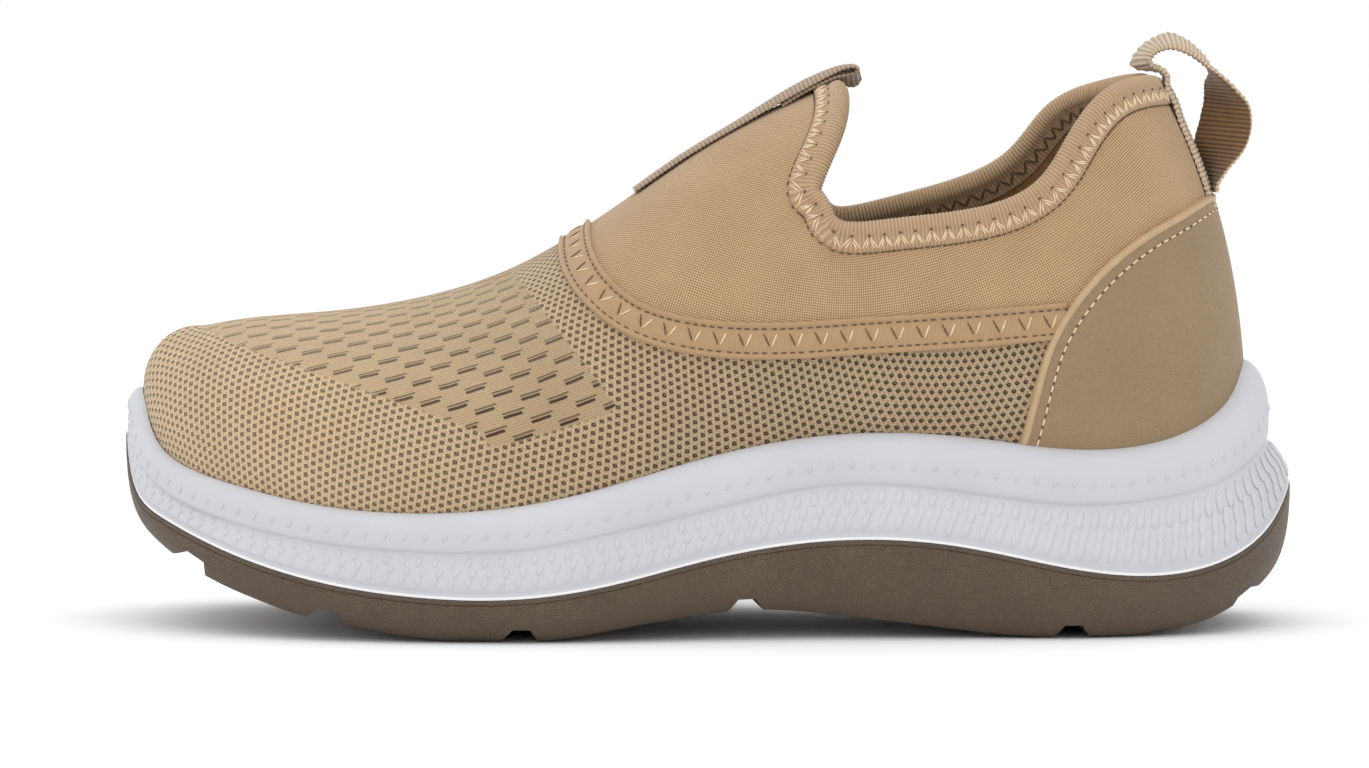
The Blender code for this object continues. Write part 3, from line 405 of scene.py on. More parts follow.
def place(along):
    return (along - 0.5) * SHOE_LENGTH


def middle(x):
    along = np.clip(x / SHOE_LENGTH + 0.5, 0.0, 1.0)
    return HEEL_SIDE + (TOE_SIDE - HEEL_SIDE) * (1.0 - along) ** 2


def edge_point(angle):
    x = -0.5 * SHOE_LENGTH * math.cos(math.radians(angle))
    return Vector((x, (float(SOLE_CURVE(angle % 360.0)[0]) - CENTRE) * BALL_WIDTH, 0.0))


def profile(x, column):
    along = min(max(x / SHOE_LENGTH + 0.5, 0.0), 1.0)
    return float(PROFILE_CURVE(angle_at(along))[column]) * RIM_HEIGHT


class Section:
    """What the sole's table says at one angle around it, in metres."""

    def __init__(self, angle):
        share = SOLE_CURVE(angle % 360.0)
        self.arch = share[7] * INNER_SIDE_RISE
        self.angle = angle
        self.rim = share[1] * RIM_HEIGHT + self.arch
        self.groove = share[2] * RIM_HEIGHT + self.arch
        self.lip = share[3] * RIM_HEIGHT + self.arch
        self.rim_inset = share[4] * RIM_INSET
        self.bead_inset = share[5] * BEAD_INSET
        self.crease = share[6] * GROOVE_DEPTH
        self.edge = edge_point(angle)
        run = edge_point(angle + 0.5) - edge_point(angle - 0.5)
        self.out = Vector((run.y, -run.x, 0.0)).normalized()

    def at(self, inset, height):
        point = self.edge - self.out * inset
        return Vector((point.x, point.y, height))

    def low(self, inset, above=0.0):
        point = self.at(inset, 0.0)
        tread = max(0.0, profile(point.x, 0))
        point.z = tread + self.arch * min(1.0, tread / INNER_SIDE_RISE) + above
        return point

    def on_bed(self, inset, above=0.0):
        point = self.at(inset, 0.0)
        point.z = profile(point.x, 1) + above
        return point


def bezier(a, b, c, d, t):
    s = 1.0 - t
    return a * s**3 + b * (3.0 * s * s * t) + c * (3.0 * s * t * t) + d * t**3


def edge_curve(rows):
    """A curve by its own length through points, with the shares 0 to 1 as keys."""
    points = np.array([tuple(row) for row in rows])
    keys = np.concatenate([[0.0], np.cumsum(np.linalg.norm(np.diff(points, axis=0), axis=1))])
    return Curve(keys / keys[-1], points)


def tongue_edge(side):
    rows = []
    for along, spread, height in TONGUE_EDGE:
        x = place(along)
        rows.append((x, middle(x) + side * spread * COLLAR_WIDTH, height * TONGUE_HEIGHT))
    return edge_curve(rows)


def collar_edge(side):
    rows = []
    for outer_along, inner_along, spread, outer_height, inner_height in COLLAR:
        x = place(outer_along if side < 0 else inner_along)
        height = outer_height if side < 0 else inner_height
        rows.append((x, middle(x) + side * spread * COLLAR_WIDTH, height * COLLAR_HEIGHT))
    return edge_curve(rows)


def wall_shares(height):
    last = 1.0 - BINDING_DEPTH / height
    shares = [last * j / WALL_ROWS for j in range(WALL_ROWS)]
    return shares + [last + (1.0 - last) * j / EDGE_ROWS for j in range(EDGE_ROWS + 1)]


def quarter_rows(row, side):
    angle, reach, lean, flare = row
    s = Section(angle if side < 0 else 360.0 - angle)
    base = s.at(s.rim_inset + FIT_GAP, s.rim)
    top = Vector(collar_edge(side)(reach))
    rise = Vector((0.0, 0.0, (top.z - base.z) * QUARTER_RISE))
    low = base + rise + s.out * lean
    high = top - rise + s.out * flare
    rows = [bezier(base, low, high, top, t) for t in wall_shares(top.z - base.z)]
    if angle == THROAT:
        rows += [Vector(tongue_edge(side)(k / ARCH_ROWS)) for k in range(1, ARCH_ROWS + 1)]
    return rows


def vamp_rows(row, side):
    angle, rise, lean, shoulder = row
    s = Section(angle if side < 0 else 360.0 - angle)
    base = s.at(s.rim_inset + FIT_GAP, s.rim)
    along, height = RIDGE_CURVE(angle)
    x = place(along)
    top = Vector((x, middle(x), height * TONGUE_HEIGHT))
    before = RIDGE_CURVE(max(angle, 1.0) - 1.0)
    after = RIDGE_CURVE(max(angle, 1.0) + 1.0)
    slope = float((after[1] - before[1]) * TONGUE_HEIGHT / ((after[0] - before[0]) * SHOE_LENGTH))
    low = base + Vector((0.0, 0.0, (top.z - base.z) * rise)) + s.out * lean
    level = (base - top) * shoulder
    high = top + Vector((level.x, level.y, level.x * slope))
    shares = [VAMP_SPLIT * t for t in wall_shares(top.z - base.z)]
    shares += [VAMP_SPLIT + (1.0 - VAMP_SPLIT) * k / ARCH_ROWS for k in range(1, ARCH_ROWS + 1)]
    return [bezier(base, low, high, top, t) for t in shares]


def stations():
    angles = [row[0] for row in VAMP] + [row[0] for row in QUARTER]
    side = []
    for first, last in zip(angles, angles[1:]):
        side += [first + (last - first) * step / FINE for step in range(FINE)]
    side.append(angles[-1])
    return side + [360.0 - angle for angle in side[-2:0:-1]]


STATIONS = stations()
SECTIONS = [Section(angle) for angle in STATIONS]
FOOT_OF_TONGUE = STATIONS.index(THROAT)
HEEL = STATIONS.index(180)


def upper_columns():
    """For each station the points of the upper's outer face, from its foot up."""
    sides = {}
    for side in (-1, 1):
        found = [(row[0], vamp_rows(row, side)) for row in VAMP]
        sides[side] = found + [(row[0], quarter_rows(row, side)) for row in QUARTER]
    lower = []
    for j in range(COLLAR_ROW):
        rows = [(angle, rows[j]) for angle, rows in sides[-1]]
        rows += [(360.0 - angle, rows[j]) for angle, rows in sides[1][-2:0:-1]]
        lower.append(Curve([angle for angle, point in rows], [tuple(point) for angle, point in rows], 360.0))
    arch = []
    for j in range(COLLAR_ROW, COLLAR_ROW + ARCH_ROWS):
        rows = [(-angle, rows[j]) for angle, rows in sides[1][::-1] if 0 < angle <= THROAT]
        rows += [(angle, rows[j]) for angle, rows in sides[-1] if angle <= THROAT]
        arch.append(Curve([angle for angle, point in rows], [tuple(point) for angle, point in rows]))
    columns = []
    for s in SECTIONS:
        rows = [s.on_bed(s.rim_inset + FIT_GAP + TUCK, FIT_GAP)]
        rows += [Vector(curve(s.angle)) for curve in lower]
        rows[1] = s.at(s.rim_inset + FIT_GAP, s.rim)
        signed = s.angle if s.angle <= 180.0 else s.angle - 360.0
        if abs(signed) <= THROAT:
            rows += [Vector(curve(signed)) for curve in arch]
        columns.append(rows)
    return columns


def mesh_piece(name, points, faces, materials, smooth=60.0):
    """A piece that rides on the shoe, from points and faces, with its materials."""
    mesh = bpy.data.meshes.new(name)
    mesh.from_pydata([tuple(point) for point in points], [], faces)
    for material in materials:
        mesh.materials.append(material)
    piece = bpy.data.objects.new(name, mesh)
    bpy.context.collection.objects.link(piece)
    alone(piece)
    if smooth:
        bpy.ops.object.shade_smooth_by_angle(angle=math.radians(smooth))
    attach(piece, "root")
    return piece


def alone(piece):
    """Selects one piece and nothing else."""
    bpy.ops.object.select_all(action="DESELECT")
    piece.select_set(True)
    bpy.context.view_layer.objects.active = piece


def face_outward(piece):
    shape = bmesh.new()
    shape.from_mesh(piece.data)
    bmesh.ops.recalc_face_normals(shape, faces=shape.faces)
    shape.to_mesh(piece.data)
    shape.free()


COLUMNS = upper_columns()


def sheet_mesh():
    """The upper's outer face: its points, its four-cornered faces, and the point at each station and row."""
    points = []
    at = {}
    last = COLLAR_ROW + ARCH_ROWS
    for i, rows in enumerate(COLUMNS):
        for j, point in enumerate(rows):
            twin = ((len(COLUMNS) - i) % len(COLUMNS), j)
            if j == last and twin in at:
                at[(i, j)] = at[twin]
                continue
            at[(i, j)] = len(points)
            points.append(point)
    faces = []
    for i in range(len(COLUMNS)):
        k = (i + 1) % len(COLUMNS)
        for j in range(min(len(COLUMNS[i]), len(COLUMNS[k])) - 1):
            face = (at[(i, j)], at[(k, j)], at[(k, j + 1)], at[(i, j + 1)])
            if len(set(face)) == 4:
                faces.append(face)
    return points, faces, at


SHEET_POINTS, SHEET_FACES, SHEET_AT = sheet_mesh()
normals = [Vector((0.0, 0.0, 0.0)) for point in SHEET_POINTS]
for a, b, c, d in SHEET_FACES:
    turn = (SHEET_POINTS[c] - SHEET_POINTS[a]).cross(SHEET_POINTS[d] - SHEET_POINTS[b])
    for corner in (a, b, c, d):
        normals[corner] += turn
SHEET_NORMALS = [normal.normalized() for normal in normals]
SHEET_TRIANGLES = [t for a, b, c, d in SHEET_FACES for t in ((a, b, c), (a, c, d))]
SHEET_TREE = BVHTree.FromPolygons(SHEET_POINTS, SHEET_TRIANGLES)


def on_sheet(point):
    """The nearest place on the upper's outer face, and the way out of it there."""
    spot, flat, face, gap = SHEET_TREE.find_nearest(point)
    a, b, c = SHEET_TRIANGLES[face]
    corners = [SHEET_POINTS[i] for i in (a, b, c)]
    outs = [SHEET_NORMALS[i] for i in (a, b, c)]
    return spot, barycentric_transform(spot, *corners, *outs).normalized()


def side_curve(rows):
    """A smooth outline seen from the side, from shares of the length and of the collar's height."""
    return edge_curve([(place(along), height * COLLAR_HEIGHT) for along, height in rows])


BAND_TOP = [
    (0.385, 0.800),
    (0.397, 0.735),
    (0.400, 0.695),
    (0.417, 0.636),
    (0.441, 0.596),
    (0.477, 0.574),
    (0.535, 0.560),
    (0.618, 0.565),
    (0.702, 0.577),
    (0.800, 0.595),
]
BAND_LOW = [
    (0.350, 0.760),
    (0.374, 0.703),
    (0.383, 0.648),
    (0.395, 0.613),
    (0.426, 0.559),
    (0.468, 0.522),
    (0.535, 0.506),
    (0.618, 0.514),
    (0.702, 0.524),
    (0.800, 0.540),
]
BAND_MIDDLE = [((a + c) / 2.0, (b + d) / 2.0) for (a, b), (c, d) in zip(BAND_TOP, BAND_LOW)]
# Lower edge of the slotted panel on the vamp, then its back edge, in metres seen from the side
SLOT_LOW = [
    # x, z
    (-0.128, 0.0735),
    (-0.113, 0.0676),
    (-0.096, 0.0626),
    (-0.077, 0.0566),
    (-0.053, 0.0488),
    (-0.0506, 0.0448),
    (-0.0367, 0.0485),
    (-0.0204, 0.0534),
]
SLOT_BACK = [
    # z, x
    (0.0448, -0.0204),
    (0.0534, -0.0204),
    (0.0627, -0.0274),
    (0.0716, -0.0346),
    (0.0771, -0.0395),
    (0.0827, -0.0444),
    (0.0900, -0.0500),
]


def zone_shares(point):
    """How far a point lies into the collar cloth and into the slotted panel, in metres."""
    band = BAND_OUTLINE
    nearest = int(np.argmin((band[:, 0] - point.x) ** 2 + (band[:, 1] - point.z) ** 2))
    nearest = min(nearest, len(band) - 2)
    run = band[nearest + 1] - band[nearest]
    away = np.array([point.x, point.z]) - band[nearest]
    collar = float(run[0] * away[1] - run[1] * away[0]) / float(np.linalg.norm(run))
    above = point.z - float(np.interp(point.x, *zip(*SLOT_LOW)))
    ahead = float(np.interp(point.z, *zip(*SLOT_BACK))) - point.x
    return collar, min(above, ahead)


band_curve = side_curve(BAND_MIDDLE)
BAND_OUTLINE = np.array([band_curve(k / 60.0) for k in range(61)])


def uv_from(piece, name, values):
    """Gives a piece a UV map from one pair for each of its points."""
    layer = piece.data.uv_layers.new(name=name)
    spots = np.array(values)[[loop.vertex_index for loop in piece.data.loops]]
    layer.data.foreach_set("uv", spots.ravel())


def flatten_cloth(piece):
    """Lays the sheet out flat as its pattern was cut, with a seam at the heel, in metres, toe to the left."""
    mesh = piece.data
    heel_points = {SHEET_AT[(HEEL, j)] for j in range(COLLAR_ROW + 1)}
    for edge in mesh.edges:
        if edge.vertices[0] in heel_points and edge.vertices[1] in heel_points:
            edge.use_seam = True
    mesh.uv_layers.new(name="cloth")
    alone(piece)
    bpy.ops.object.mode_set(mode="EDIT")
    bpy.ops.mesh.select_all(action="SELECT")
    bpy.ops.uv.unwrap(method="MINIMUM_STRETCH", iterations=20, no_flip=True, margin=0.0)
    bpy.ops.object.mode_set(mode="OBJECT")
    layer = mesh.uv_layers["cloth"]
    flat = np.zeros(len(mesh.loops) * 2)
    layer.data.foreach_get("uv", flat)
    flat = flat.reshape(-1, 2)
    first_loop = {}
    for loop in mesh.loops:
        first_loop.setdefault(loop.vertex_index, loop.index)
    ridge = COLLAR_ROW + ARCH_ROWS
    ends = [SHEET_AT[(station, ridge)] for station in (FINE, FOOT_OF_TONGUE)]
    front, rear = [first_loop[end] for end in ends]
    run = flat[rear] - flat[front]
    real = (mesh.vertices[ends[1]].co - mesh.vertices[ends[0]].co).length
    turn = -math.atan2(run[1], run[0])
    scale = real / float(np.linalg.norm(run))
    spin = np.array([[math.cos(turn), -math.sin(turn)], [math.sin(turn), math.cos(turn)]])
    flat = (flat - flat[front]) @ spin.T * scale
    layer.data.foreach_set("uv", flat.ravel())


# The lining's lowest rows go straight inward, so that none shows under the cloth at the toe
LEVEL_ROWS = 4


def add_lining(piece):
    """Closes the sheet with its inner face, one wall further in, and the cut edges between them."""
    shape = bmesh.new()
    shape.from_mesh(piece.data)
    shape.verts.ensure_lookup_table()
    outer = list(shape.verts)
    rims = [edge for edge in shape.edges if edge.is_boundary]
    inward = list(SHEET_NORMALS)
    for i, section in enumerate(SECTIONS):
        for j in range(LEVEL_ROWS):
            point = SHEET_AT[(i, j)]
            inward[point] = (section.out * (LEVEL_ROWS - j) + SHEET_NORMALS[point] * j).normalized()
    inner = [shape.verts.new(v.co - n * UPPER_WALL) for v, n in zip(outer, inward)]
    for face in list(shape.faces):
        twin = shape.faces.new([inner[v.index] for v in reversed(face.verts)])
        twin.material_index = 1
        twin.smooth = True
    for edge in rims:
        loop = edge.link_loops[0]
        a, b = loop.vert.index, loop.link_loop_next.vert.index
        shape.faces.new([outer[b], outer[a], inner[a], inner[b]]).material_index = 1
    shape.to_mesh(piece.data)
    shape.free()


knit, wire = finish(
    "knit_and_collar_cloth",
    Roughness=0.85,
    Sheen_Weight=0.25,
    Sheen_Roughness=0.5,
    Specular_IOR_Level=0.25,
)
cloth = wire.cloth_places()
u = cloth.part(0)
v = cloth.part(1)
collar_share = wire.shares_of("collar_cloth")
slot_share = wire.shares_of("slot_panel")


def net(u, v, pitch_u, pitch_v):
    """Offsets from the nearest point of a staggered net, once for each of its two sets of points."""
    found = []
    for shift in (0.0, 0.5):
        across = ((u / pitch_u + shift).fraction() - 0.5) * pitch_u
        up = ((v / pitch_v + shift).fraction() - 0.5) * pitch_v
        found.append((across, up))
    return found


# Repeats of the two knits along and across the cloth, in metres; the others as turns a metre
RING_PITCH = (0.0019, 0.0033)
SLOT_PITCH = (0.0107, 0.0055)
COURSES = 10472.0
WALES = 11424.0
TWILL = 7500.0
KNUCKLES_ALONG = 6613.0
KNUCKLES_ACROSS = 3808.0


def ring_holes(u, v):
    """Pinholes: rings of sunk yarn painted dark as shade in the holes, with a lighter loop inside, 1 where
    darkest.
    """
    dark = None
    for across, up in net(u, v, *RING_PITCH):
        out = (across * across + up * up).root()
        aside = across - 0.00010
        centre = (aside * aside + up * up).root()
        ring = (1.0 - out.rise(0.00040, 0.00058)) * (centre.rise(0.00004, 0.00028) * 0.7 + 0.3)
        dark = ring if dark is None else dark.most(ring)
    return dark


def slots(u, v, bold):
    """Slots: a thick dash with a thin, longer line above it."""
    dark = None
    for across, up in net(u, v, *SLOT_PITCH):
        beyond = (across.size() - 0.0019).most(0.0)
        low = (up + 0.0004).size()
        thick = 1.0 - (beyond * beyond + low * low).root().rise(0.00018, 0.00046)
        longer = ((across - 0.0004).size() - 0.0024).most(0.0)
        high = (up - 0.00045).size()
        thin = 1.0 - (longer * longer + high * high).root().rise(0.00008, 0.00026)
        both = thick.most(thin * 0.75)
        dark = both if dark is None else dark.most(both)
    return dark * bold


body = wire.places()
body_x = body.part(0)
body_z = body.part(2)
heelward = body_x.rise(-0.11, 0.03)
wobble = wire.noise(cloth, 260.0, 2.0) - 0.5
far_wobble = wire.noise(cloth, 35.0, 2.0) - 0.5
uu = u + wobble * 0.0005 + far_wobble * 0.0012
vv = v + wobble * 0.0004 - far_wobble * 0.0010
in_slots = slot_share.rise(-0.0006, 0.0006)
in_collar = collar_share.rise(-0.0003, 0.0003)
hole = ring_holes(uu, vv) * (heelward * 0.25 + 0.75)
slot_reach = (body_z * -30.0 + body_x * 5.0 + 2.75).clip()
slot = slots(uu, vv, slot_reach * 0.4 + 0.6)
knuckle = (uu * KNUCKLES_ALONG).sine() * (vv * KNUCKLES_ACROSS).sine() * 0.5 + 0.5
course = (vv * COURSES).sine() * 0.5 + 0.5
picks = ((uu * WALES).sine() * 0.35 + 0.65) * course
dark = hole * (1.0 - in_slots) + slot * in_slots
relief = knuckle * (1.0 - in_slots) + picks * in_slots
mottle = wire.noise(cloth, 70.0, 4.0)
fibre = wire.noise(cloth, 2600.0, 2.0)
# Painted shade: both yarn colours are mixed darker towards the heel, as shade over the quarter, and the lit
# and shaded yarn paint light on the knuckles and shade between them.
lit_yarn = heelward.choose(dye(224, 199, 162), dye(198, 174, 142))
shaded_yarn = heelward.choose(dye(176, 147, 108), dye(146, 121, 90))
knit_colour = (relief * 0.75 + fibre * 0.5 + mottle * 0.3 - 0.28).clip().choose(shaded_yarn, lit_yarn)
# The holes and slots are painted dark brown: painted shade in the knit's openings.
knit_colour = dark.choose(knit_colour, dye(66, 42, 20))
twill = ((u + v * 0.9) * TWILL + far_wobble * 3.0).sine() * 0.5 + 0.5
cross = ((u * 0.9 - v) * TWILL + far_wobble * 3.0).sine() * 0.5 + 0.5
weave = twill * cross
collar_colour = (weave * 1.6 + mottle * 0.35 - 0.2).clip().choose(dye(152, 120, 85), dye(217, 187, 146))
colour = in_collar.choose(knit_colour, collar_colour)
height = (relief * 0.5 - dark * 1.3) * (1.0 - in_collar) + weave * 0.3 * in_collar
feed(knit, colour=colour, height=height, depth=0.0005, strength=0.9)

lining, wire = finish("lining_cloth", Roughness=0.9, Sheen_Weight=0.2)
spots = wire.places()
mesh_weave = wire.node("TexVoronoi", {}, {"Vector": spots, "Scale": 900.0})
lining_colour = mesh_weave.choose(dye(120, 84, 46), dye(150, 110, 68))
feed(lining, colour=lining_colour, height=mesh_weave, depth=0.0002, strength=0.5)

upper = mesh_piece("upper_cloth", SHEET_POINTS, SHEET_FACES, [knit, lining])
flatten_cloth(upper)
add_lining(upper)
shares = [zone_shares(point) for point in SHEET_POINTS]
for name, column in (("collar_cloth", 0), ("slot_panel", 1)):
    attribute = upper.data.attributes.new(name, "FLOAT", "POINT")
    attribute.data.foreach_set("value", [share[column] for share in shares + shares])
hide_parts("upper")


# Foam midsole: one moulded cup of white foam under and around the upper, with a rounded bead,
# a groove round it, a hollowed band with small raised drops, and a thin lip on the rubber.
LIP_INSET = 0.0006
LIP_HEIGHT = 0.0018
LIP_GAP = 0.00006
BAND_SWELL = 1.6
CUP_WALL = 0.0030
CUP_DRAFT = 0.0010
OUTSOLE_THICKNESS = 0.0045
DROP_PITCH = 0.0039
DROP_SLANT = 0.3
TICK_PITCH = 0.0048


def ring_mesh(rings):
    """Points and faces of closed rings stacked up, with both ends closed."""
    count = len(rings[0])
    points = [point for ring in rings for point in ring]
    faces = []
    for level in range(len(rings) - 1):
        for i in range(count):
            a, b = level * count + i, level * count + (i + 1) % count
            faces.append((a, b, b + count, a + count))
    top = (len(rings) - 1) * count
    for i in range(count // 2):
        low = (i, (count - i) % count, (count - i - 1) % count, i + 1)
        corners = list(dict.fromkeys(low))
        faces.append(tuple(corners))
        faces.append(tuple(top + corner for corner in corners[::-1]))
    return points, faces


def band_point(section, share):
    low = section.lip + LIP_HEIGHT
    end = section.bead_inset + section.crease
    inset = LIP_INSET + (end - LIP_INSET) * share**BAND_SWELL
    return section.at(inset, low + (section.groove - low) * share)


def bead_point(section, share):
    """A point of the bead above the groove: a steep side that rounds over to the rim."""
    shoulder = section.groove + (section.rim - section.groove) * 0.36
    if share < 0.4:
        part = share / 0.4
        inset = section.bead_inset + section.crease * 1.2 * (1.0 - part) ** 7
        return section.at(inset, section.groove + (shoulder - section.groove) * part)
    turn = (share - 0.4) / 0.6 * math.radians(90.0)
    inset = section.bead_inset + (section.rim_inset - section.bead_inset) * (1.0 - math.cos(turn))
    return section.at(inset, shoulder + (section.rim - shoulder) * math.sin(turn))


def cup_floor(section, clear):
    inset = CUP_WALL + CUP_DRAFT
    height = min(section.low(inset, OUTSOLE_THICKNESS).z, section.lip - OUTSOLE_THICKNESS * 0.2)
    return section.at(inset + clear, height + 2.0 * clear)


foam, wire = finish("white_foam", Roughness=0.55, Specular_IOR_Level=0.35)
spots = wire.places()
grain = wire.noise(spots, 1500.0, 3.0)
shade = wire.noise(spots, 40.0, 3.0)
white = shade.choose(dye(193, 194, 199), dye(205, 206, 211))
feed(foam, colour=white, roughness=grain * 0.2 + 0.45, height=grain, depth=0.00015, strength=0.5)

LIP_STEPS = [
    # inset, height above the rubber's edge
    (CUP_WALL + FIT_GAP, LIP_GAP),
    (LIP_INSET * 0.5 + 0.0002, LIP_GAP),
    (LIP_INSET * 0.5, LIP_GAP * 3.0),
    (LIP_INSET * 0.5, LIP_HEIGHT * 0.45),
    (LIP_INSET * 0.5 + 0.0004, LIP_HEIGHT * 0.6),
    (LIP_INSET + 0.0003, LIP_HEIGHT),
]
rings = [[cup_floor(s, FIT_GAP) for s in SECTIONS]]
rings += [[s.at(inset, s.lip + above) for s in SECTIONS] for inset, above in LIP_STEPS]
rings += [[band_point(s, 0.05 + 0.95 * k / 10.0) for s in SECTIONS] for k in range(11)]
rings += [[bead_point(s, share) for s in SECTIONS] for share in (0.012, 0.03, 0.06, 0.11)]
rings += [[bead_point(s, k / 14.0) for s in SECTIONS] for k in range(3, 15)]
rings.append([s.on_bed(s.rim_inset + TUCK) for s in SECTIONS])
# Painted highlight: the lip's upright face is painted brighter than the foam, as a bright line along the
# foam's lower edge.
lip_painted_highlight, wire = finish("lip_painted_highlight", Roughness=0.35)
spots = wire.places()
feed(lip_painted_highlight, colour=wire.noise(spots, 40.0, 3.0).choose(dye(232, 233, 236), dye(242, 243, 245)))
midsole = mesh_piece("midsole_foam", *ring_mesh(rings), [foam, lip_painted_highlight], 50.0)
for face in midsole.data.polygons[2 * len(SECTIONS) : 4 * len(SECTIONS)]:
    face.material_index = 1
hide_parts("midsole")


def around(pitch):
    """Section angles at an even spacing along the sole's edge."""
    fine = [Section(k * 0.5) for k in range(720)]
    spots = [s.at(0.0, s.lip) for s in fine]
    lengths = [0.0]
    for a, b in zip(spots, spots[1:] + spots[:1]):
        lengths.append(lengths[-1] + (b - a).length)
    count = int(lengths[-1] / pitch)
    angles = [k * 0.5 for k in range(721)]
    return [float(np.interp(lengths[-1] * k / count, lengths, angles)) for k in range(count)]


def copies(name, pattern, frames, material, smooth=60.0):
    """One piece made of copies of a small shape, each placed by a spot and three directions."""
    corners = np.array([tuple(vertex.co) for vertex in pattern.data.vertices])
    polygons = [tuple(face.vertices) for face in pattern.data.polygons]
    points = []
    faces = []
    for spot, x_way, y_way, z_way in frames:
        grid = np.array([tuple(x_way), tuple(y_way), tuple(z_way)])
        base = len(points)
        points += [tuple(point) for point in corners @ grid + np.array(tuple(spot))]
        faces += [tuple(base + i for i in face) for face in polygons]
    return mesh_piece(name, points, faces, [material], smooth)


bpy.ops.object.select_all(action="DESELECT")
bpy.ops.mesh.primitive_uv_sphere_add(segments=10, ring_count=6, radius=1.0)
bead = bpy.context.object
frames = []
for angle in around(DROP_PITCH):
    for row, share in enumerate((0.24, 0.50, 0.76)):
        s = Section(angle + (row % 2) * 0.5)
        spot = band_point(s, share)
        up = (band_point(s, share + 0.05) - band_point(s, share - 0.05)).normalized()
        along = s.out.cross(up).normalized()
        out = up.cross(along).normalized()
        out = out if out.dot(s.out) > 0.0 else -out
        heelward = (0.5 - 0.5 * math.cos(math.radians(min(angle, 360.0 - angle)))) ** 0.6
        tall = (s.groove - s.lip) * (0.07 + 0.115 * heelward)
        wide = 0.00045 + 0.0006 * heelward
        proud = 0.0002 + 0.00025 * heelward
        slant = up * math.cos(DROP_SLANT) + Vector((1.0, 0.0, 0.0)) * math.sin(DROP_SLANT)
        slant = (slant - out * slant.dot(out)).normalized()
        frames.append((spot, slant.cross(out) * wide, slant * tall, out * proud))
drops = copies("midsole_drops", bead, frames, foam)
frames = []
for angle in around(TICK_PITCH):
    s = Section(angle)
    spot = bead_point(s, 0.42)
    up = (bead_point(s, 0.47) - bead_point(s, 0.37)).normalized()
    along = up.cross(s.out).normalized()
    frames.append((spot, along * 0.0005, (up + along * 0.4) * 0.0009, s.out * 0.0003))
ticks = copies("midsole_ticks", bead, frames, foam)
bpy.data.objects.remove(bead)


# Rubber outsole: a brown moulded cup with a leather-like grain, glued under the foam, its side
# rounded under to the tread, a fine line just below its edge and grooves moulded across the tread.
TREAD_INSET = 0.0070
SIDE_ROUND = 0.85
GROOVE_WIDTH = 0.0060
GROOVE_CUT = 0.0030
GROOVE_BOW = 0.0060
GROOVES = [
    (0.068, 1.2, 1.0),
    (0.120, 0.50, 0.8),
    (0.180, 1.2, 1.0),
    (0.235, 0.66, 0.8),
    (0.290, 0.66, 0.8),
    (0.340, 1.2, 1.0),
    (0.395, 0.62, 0.8),
    (0.450, 0.56, 0.8),
    (0.532, 1.2, 1.0),
    (0.620, 0.46, 0.8),
    (0.690, 0.46, 0.8),
    (0.745, 0.46, 0.8),
    (0.806, 1.2, 1.0),
    (0.865, 0.42, 0.8),
    (0.962, 1.2, 0.5),
]

rubber, wire = finish("brown_rubber", Roughness=0.5, Specular_IOR_Level=0.45)
spots = wire.places()
cells = wire.node("TexVoronoi", {"feature": "DISTANCE_TO_EDGE"}, {"Vector": spots, "Scale": 1700.0})
grain = cells.rise(0.0, 0.2) * 0.6 + wire.noise(spots, 1100.0, 4.0) * 0.8
shade = wire.noise(spots, 60.0, 4.0)
colour = shade.choose(dye(92, 76, 61), dye(110, 93, 77))
colour = ((1.0 - grain) * 0.35).clip().choose(colour, dye(70, 56, 44))
feed(rubber, colour=colour, roughness=0.62 - grain * 0.15, height=grain, depth=0.0004, strength=0.9)


def side_point(section, share):
    """A point of the rounded side, from the tread at 0 to the edge at 1."""
    turn = math.radians(90.0) * share
    inset = TREAD_INSET * (1.0 - math.sin(turn))
    rise = SIDE_ROUND * (1.0 - math.cos(turn)) + (1.0 - SIDE_ROUND) * share**6
    low = section.low(TREAD_INSET).z
    return section.at(inset, low * (1.0 - rise) + section.lip * rise)


EDGE_STEPS = [
    # inset, depth below the edge: first the fine line, then the rounded edge
    (0.0, 0.0013),
    (0.00022, 0.0011),
    (0.0, 0.0009),
    (0.0, 0.0002),
    (0.0002, 0.0),
    (CUP_WALL, 0.0),
]
rings = [[side_point(s, k / 12.0) for s in SECTIONS] for k in range(12)]
rings += [[s.at(inset, s.lip - below) for s in SECTIONS] for inset, below in EDGE_STEPS]
rings.append([cup_floor(s, 0.0) for s in SECTIONS])
outsole = mesh_piece("outsole_rubber", *ring_mesh(rings), [rubber], 0.0)
cutters = []
for along, spread, depth_share in GROOVES:
    x = place(along)
    rise = profile(x + 0.004, 0) - profile(x - 0.004, 0)
    tilt = -math.atan2(rise, 0.008) if profile(x, 0) > 0.0 else 0.0
    depth = GROOVE_CUT * depth_share
    bpy.ops.object.select_all(action="DESELECT")
    bpy.ops.mesh.primitive_cube_add(size=1.0)
    bar = bpy.context.object
    bpy.ops.object.mode_set(mode="EDIT")
    bpy.ops.mesh.select_all(action="SELECT")
    bpy.ops.mesh.subdivide(number_cuts=12)
    bpy.ops.object.mode_set(mode="OBJECT")
    for vertex in bar.data.vertices:
        across, share, up = vertex.co.x, vertex.co.y * 2.0, vertex.co.z
        wide = GROOVE_WIDTH * (0.72 + 2.2 * (0.5 - up))
        vertex.co.x = across * wide + GROOVE_BOW * (share * share - 0.5) * min(1.0, spread)
        vertex.co.y = 0.5 * spread * BALL_WIDTH * share
        vertex.co.z = depth * (3.0 * up - 0.5)
    spot = Vector((x, float(middle(x)), max(0.0, profile(x, 0))))
    bar.data.transform(Matrix.Translation(spot) @ Matrix.Rotation(tilt, 4, "Y"))
    cutters.append(bar)
bpy.ops.object.select_all(action="DESELECT")
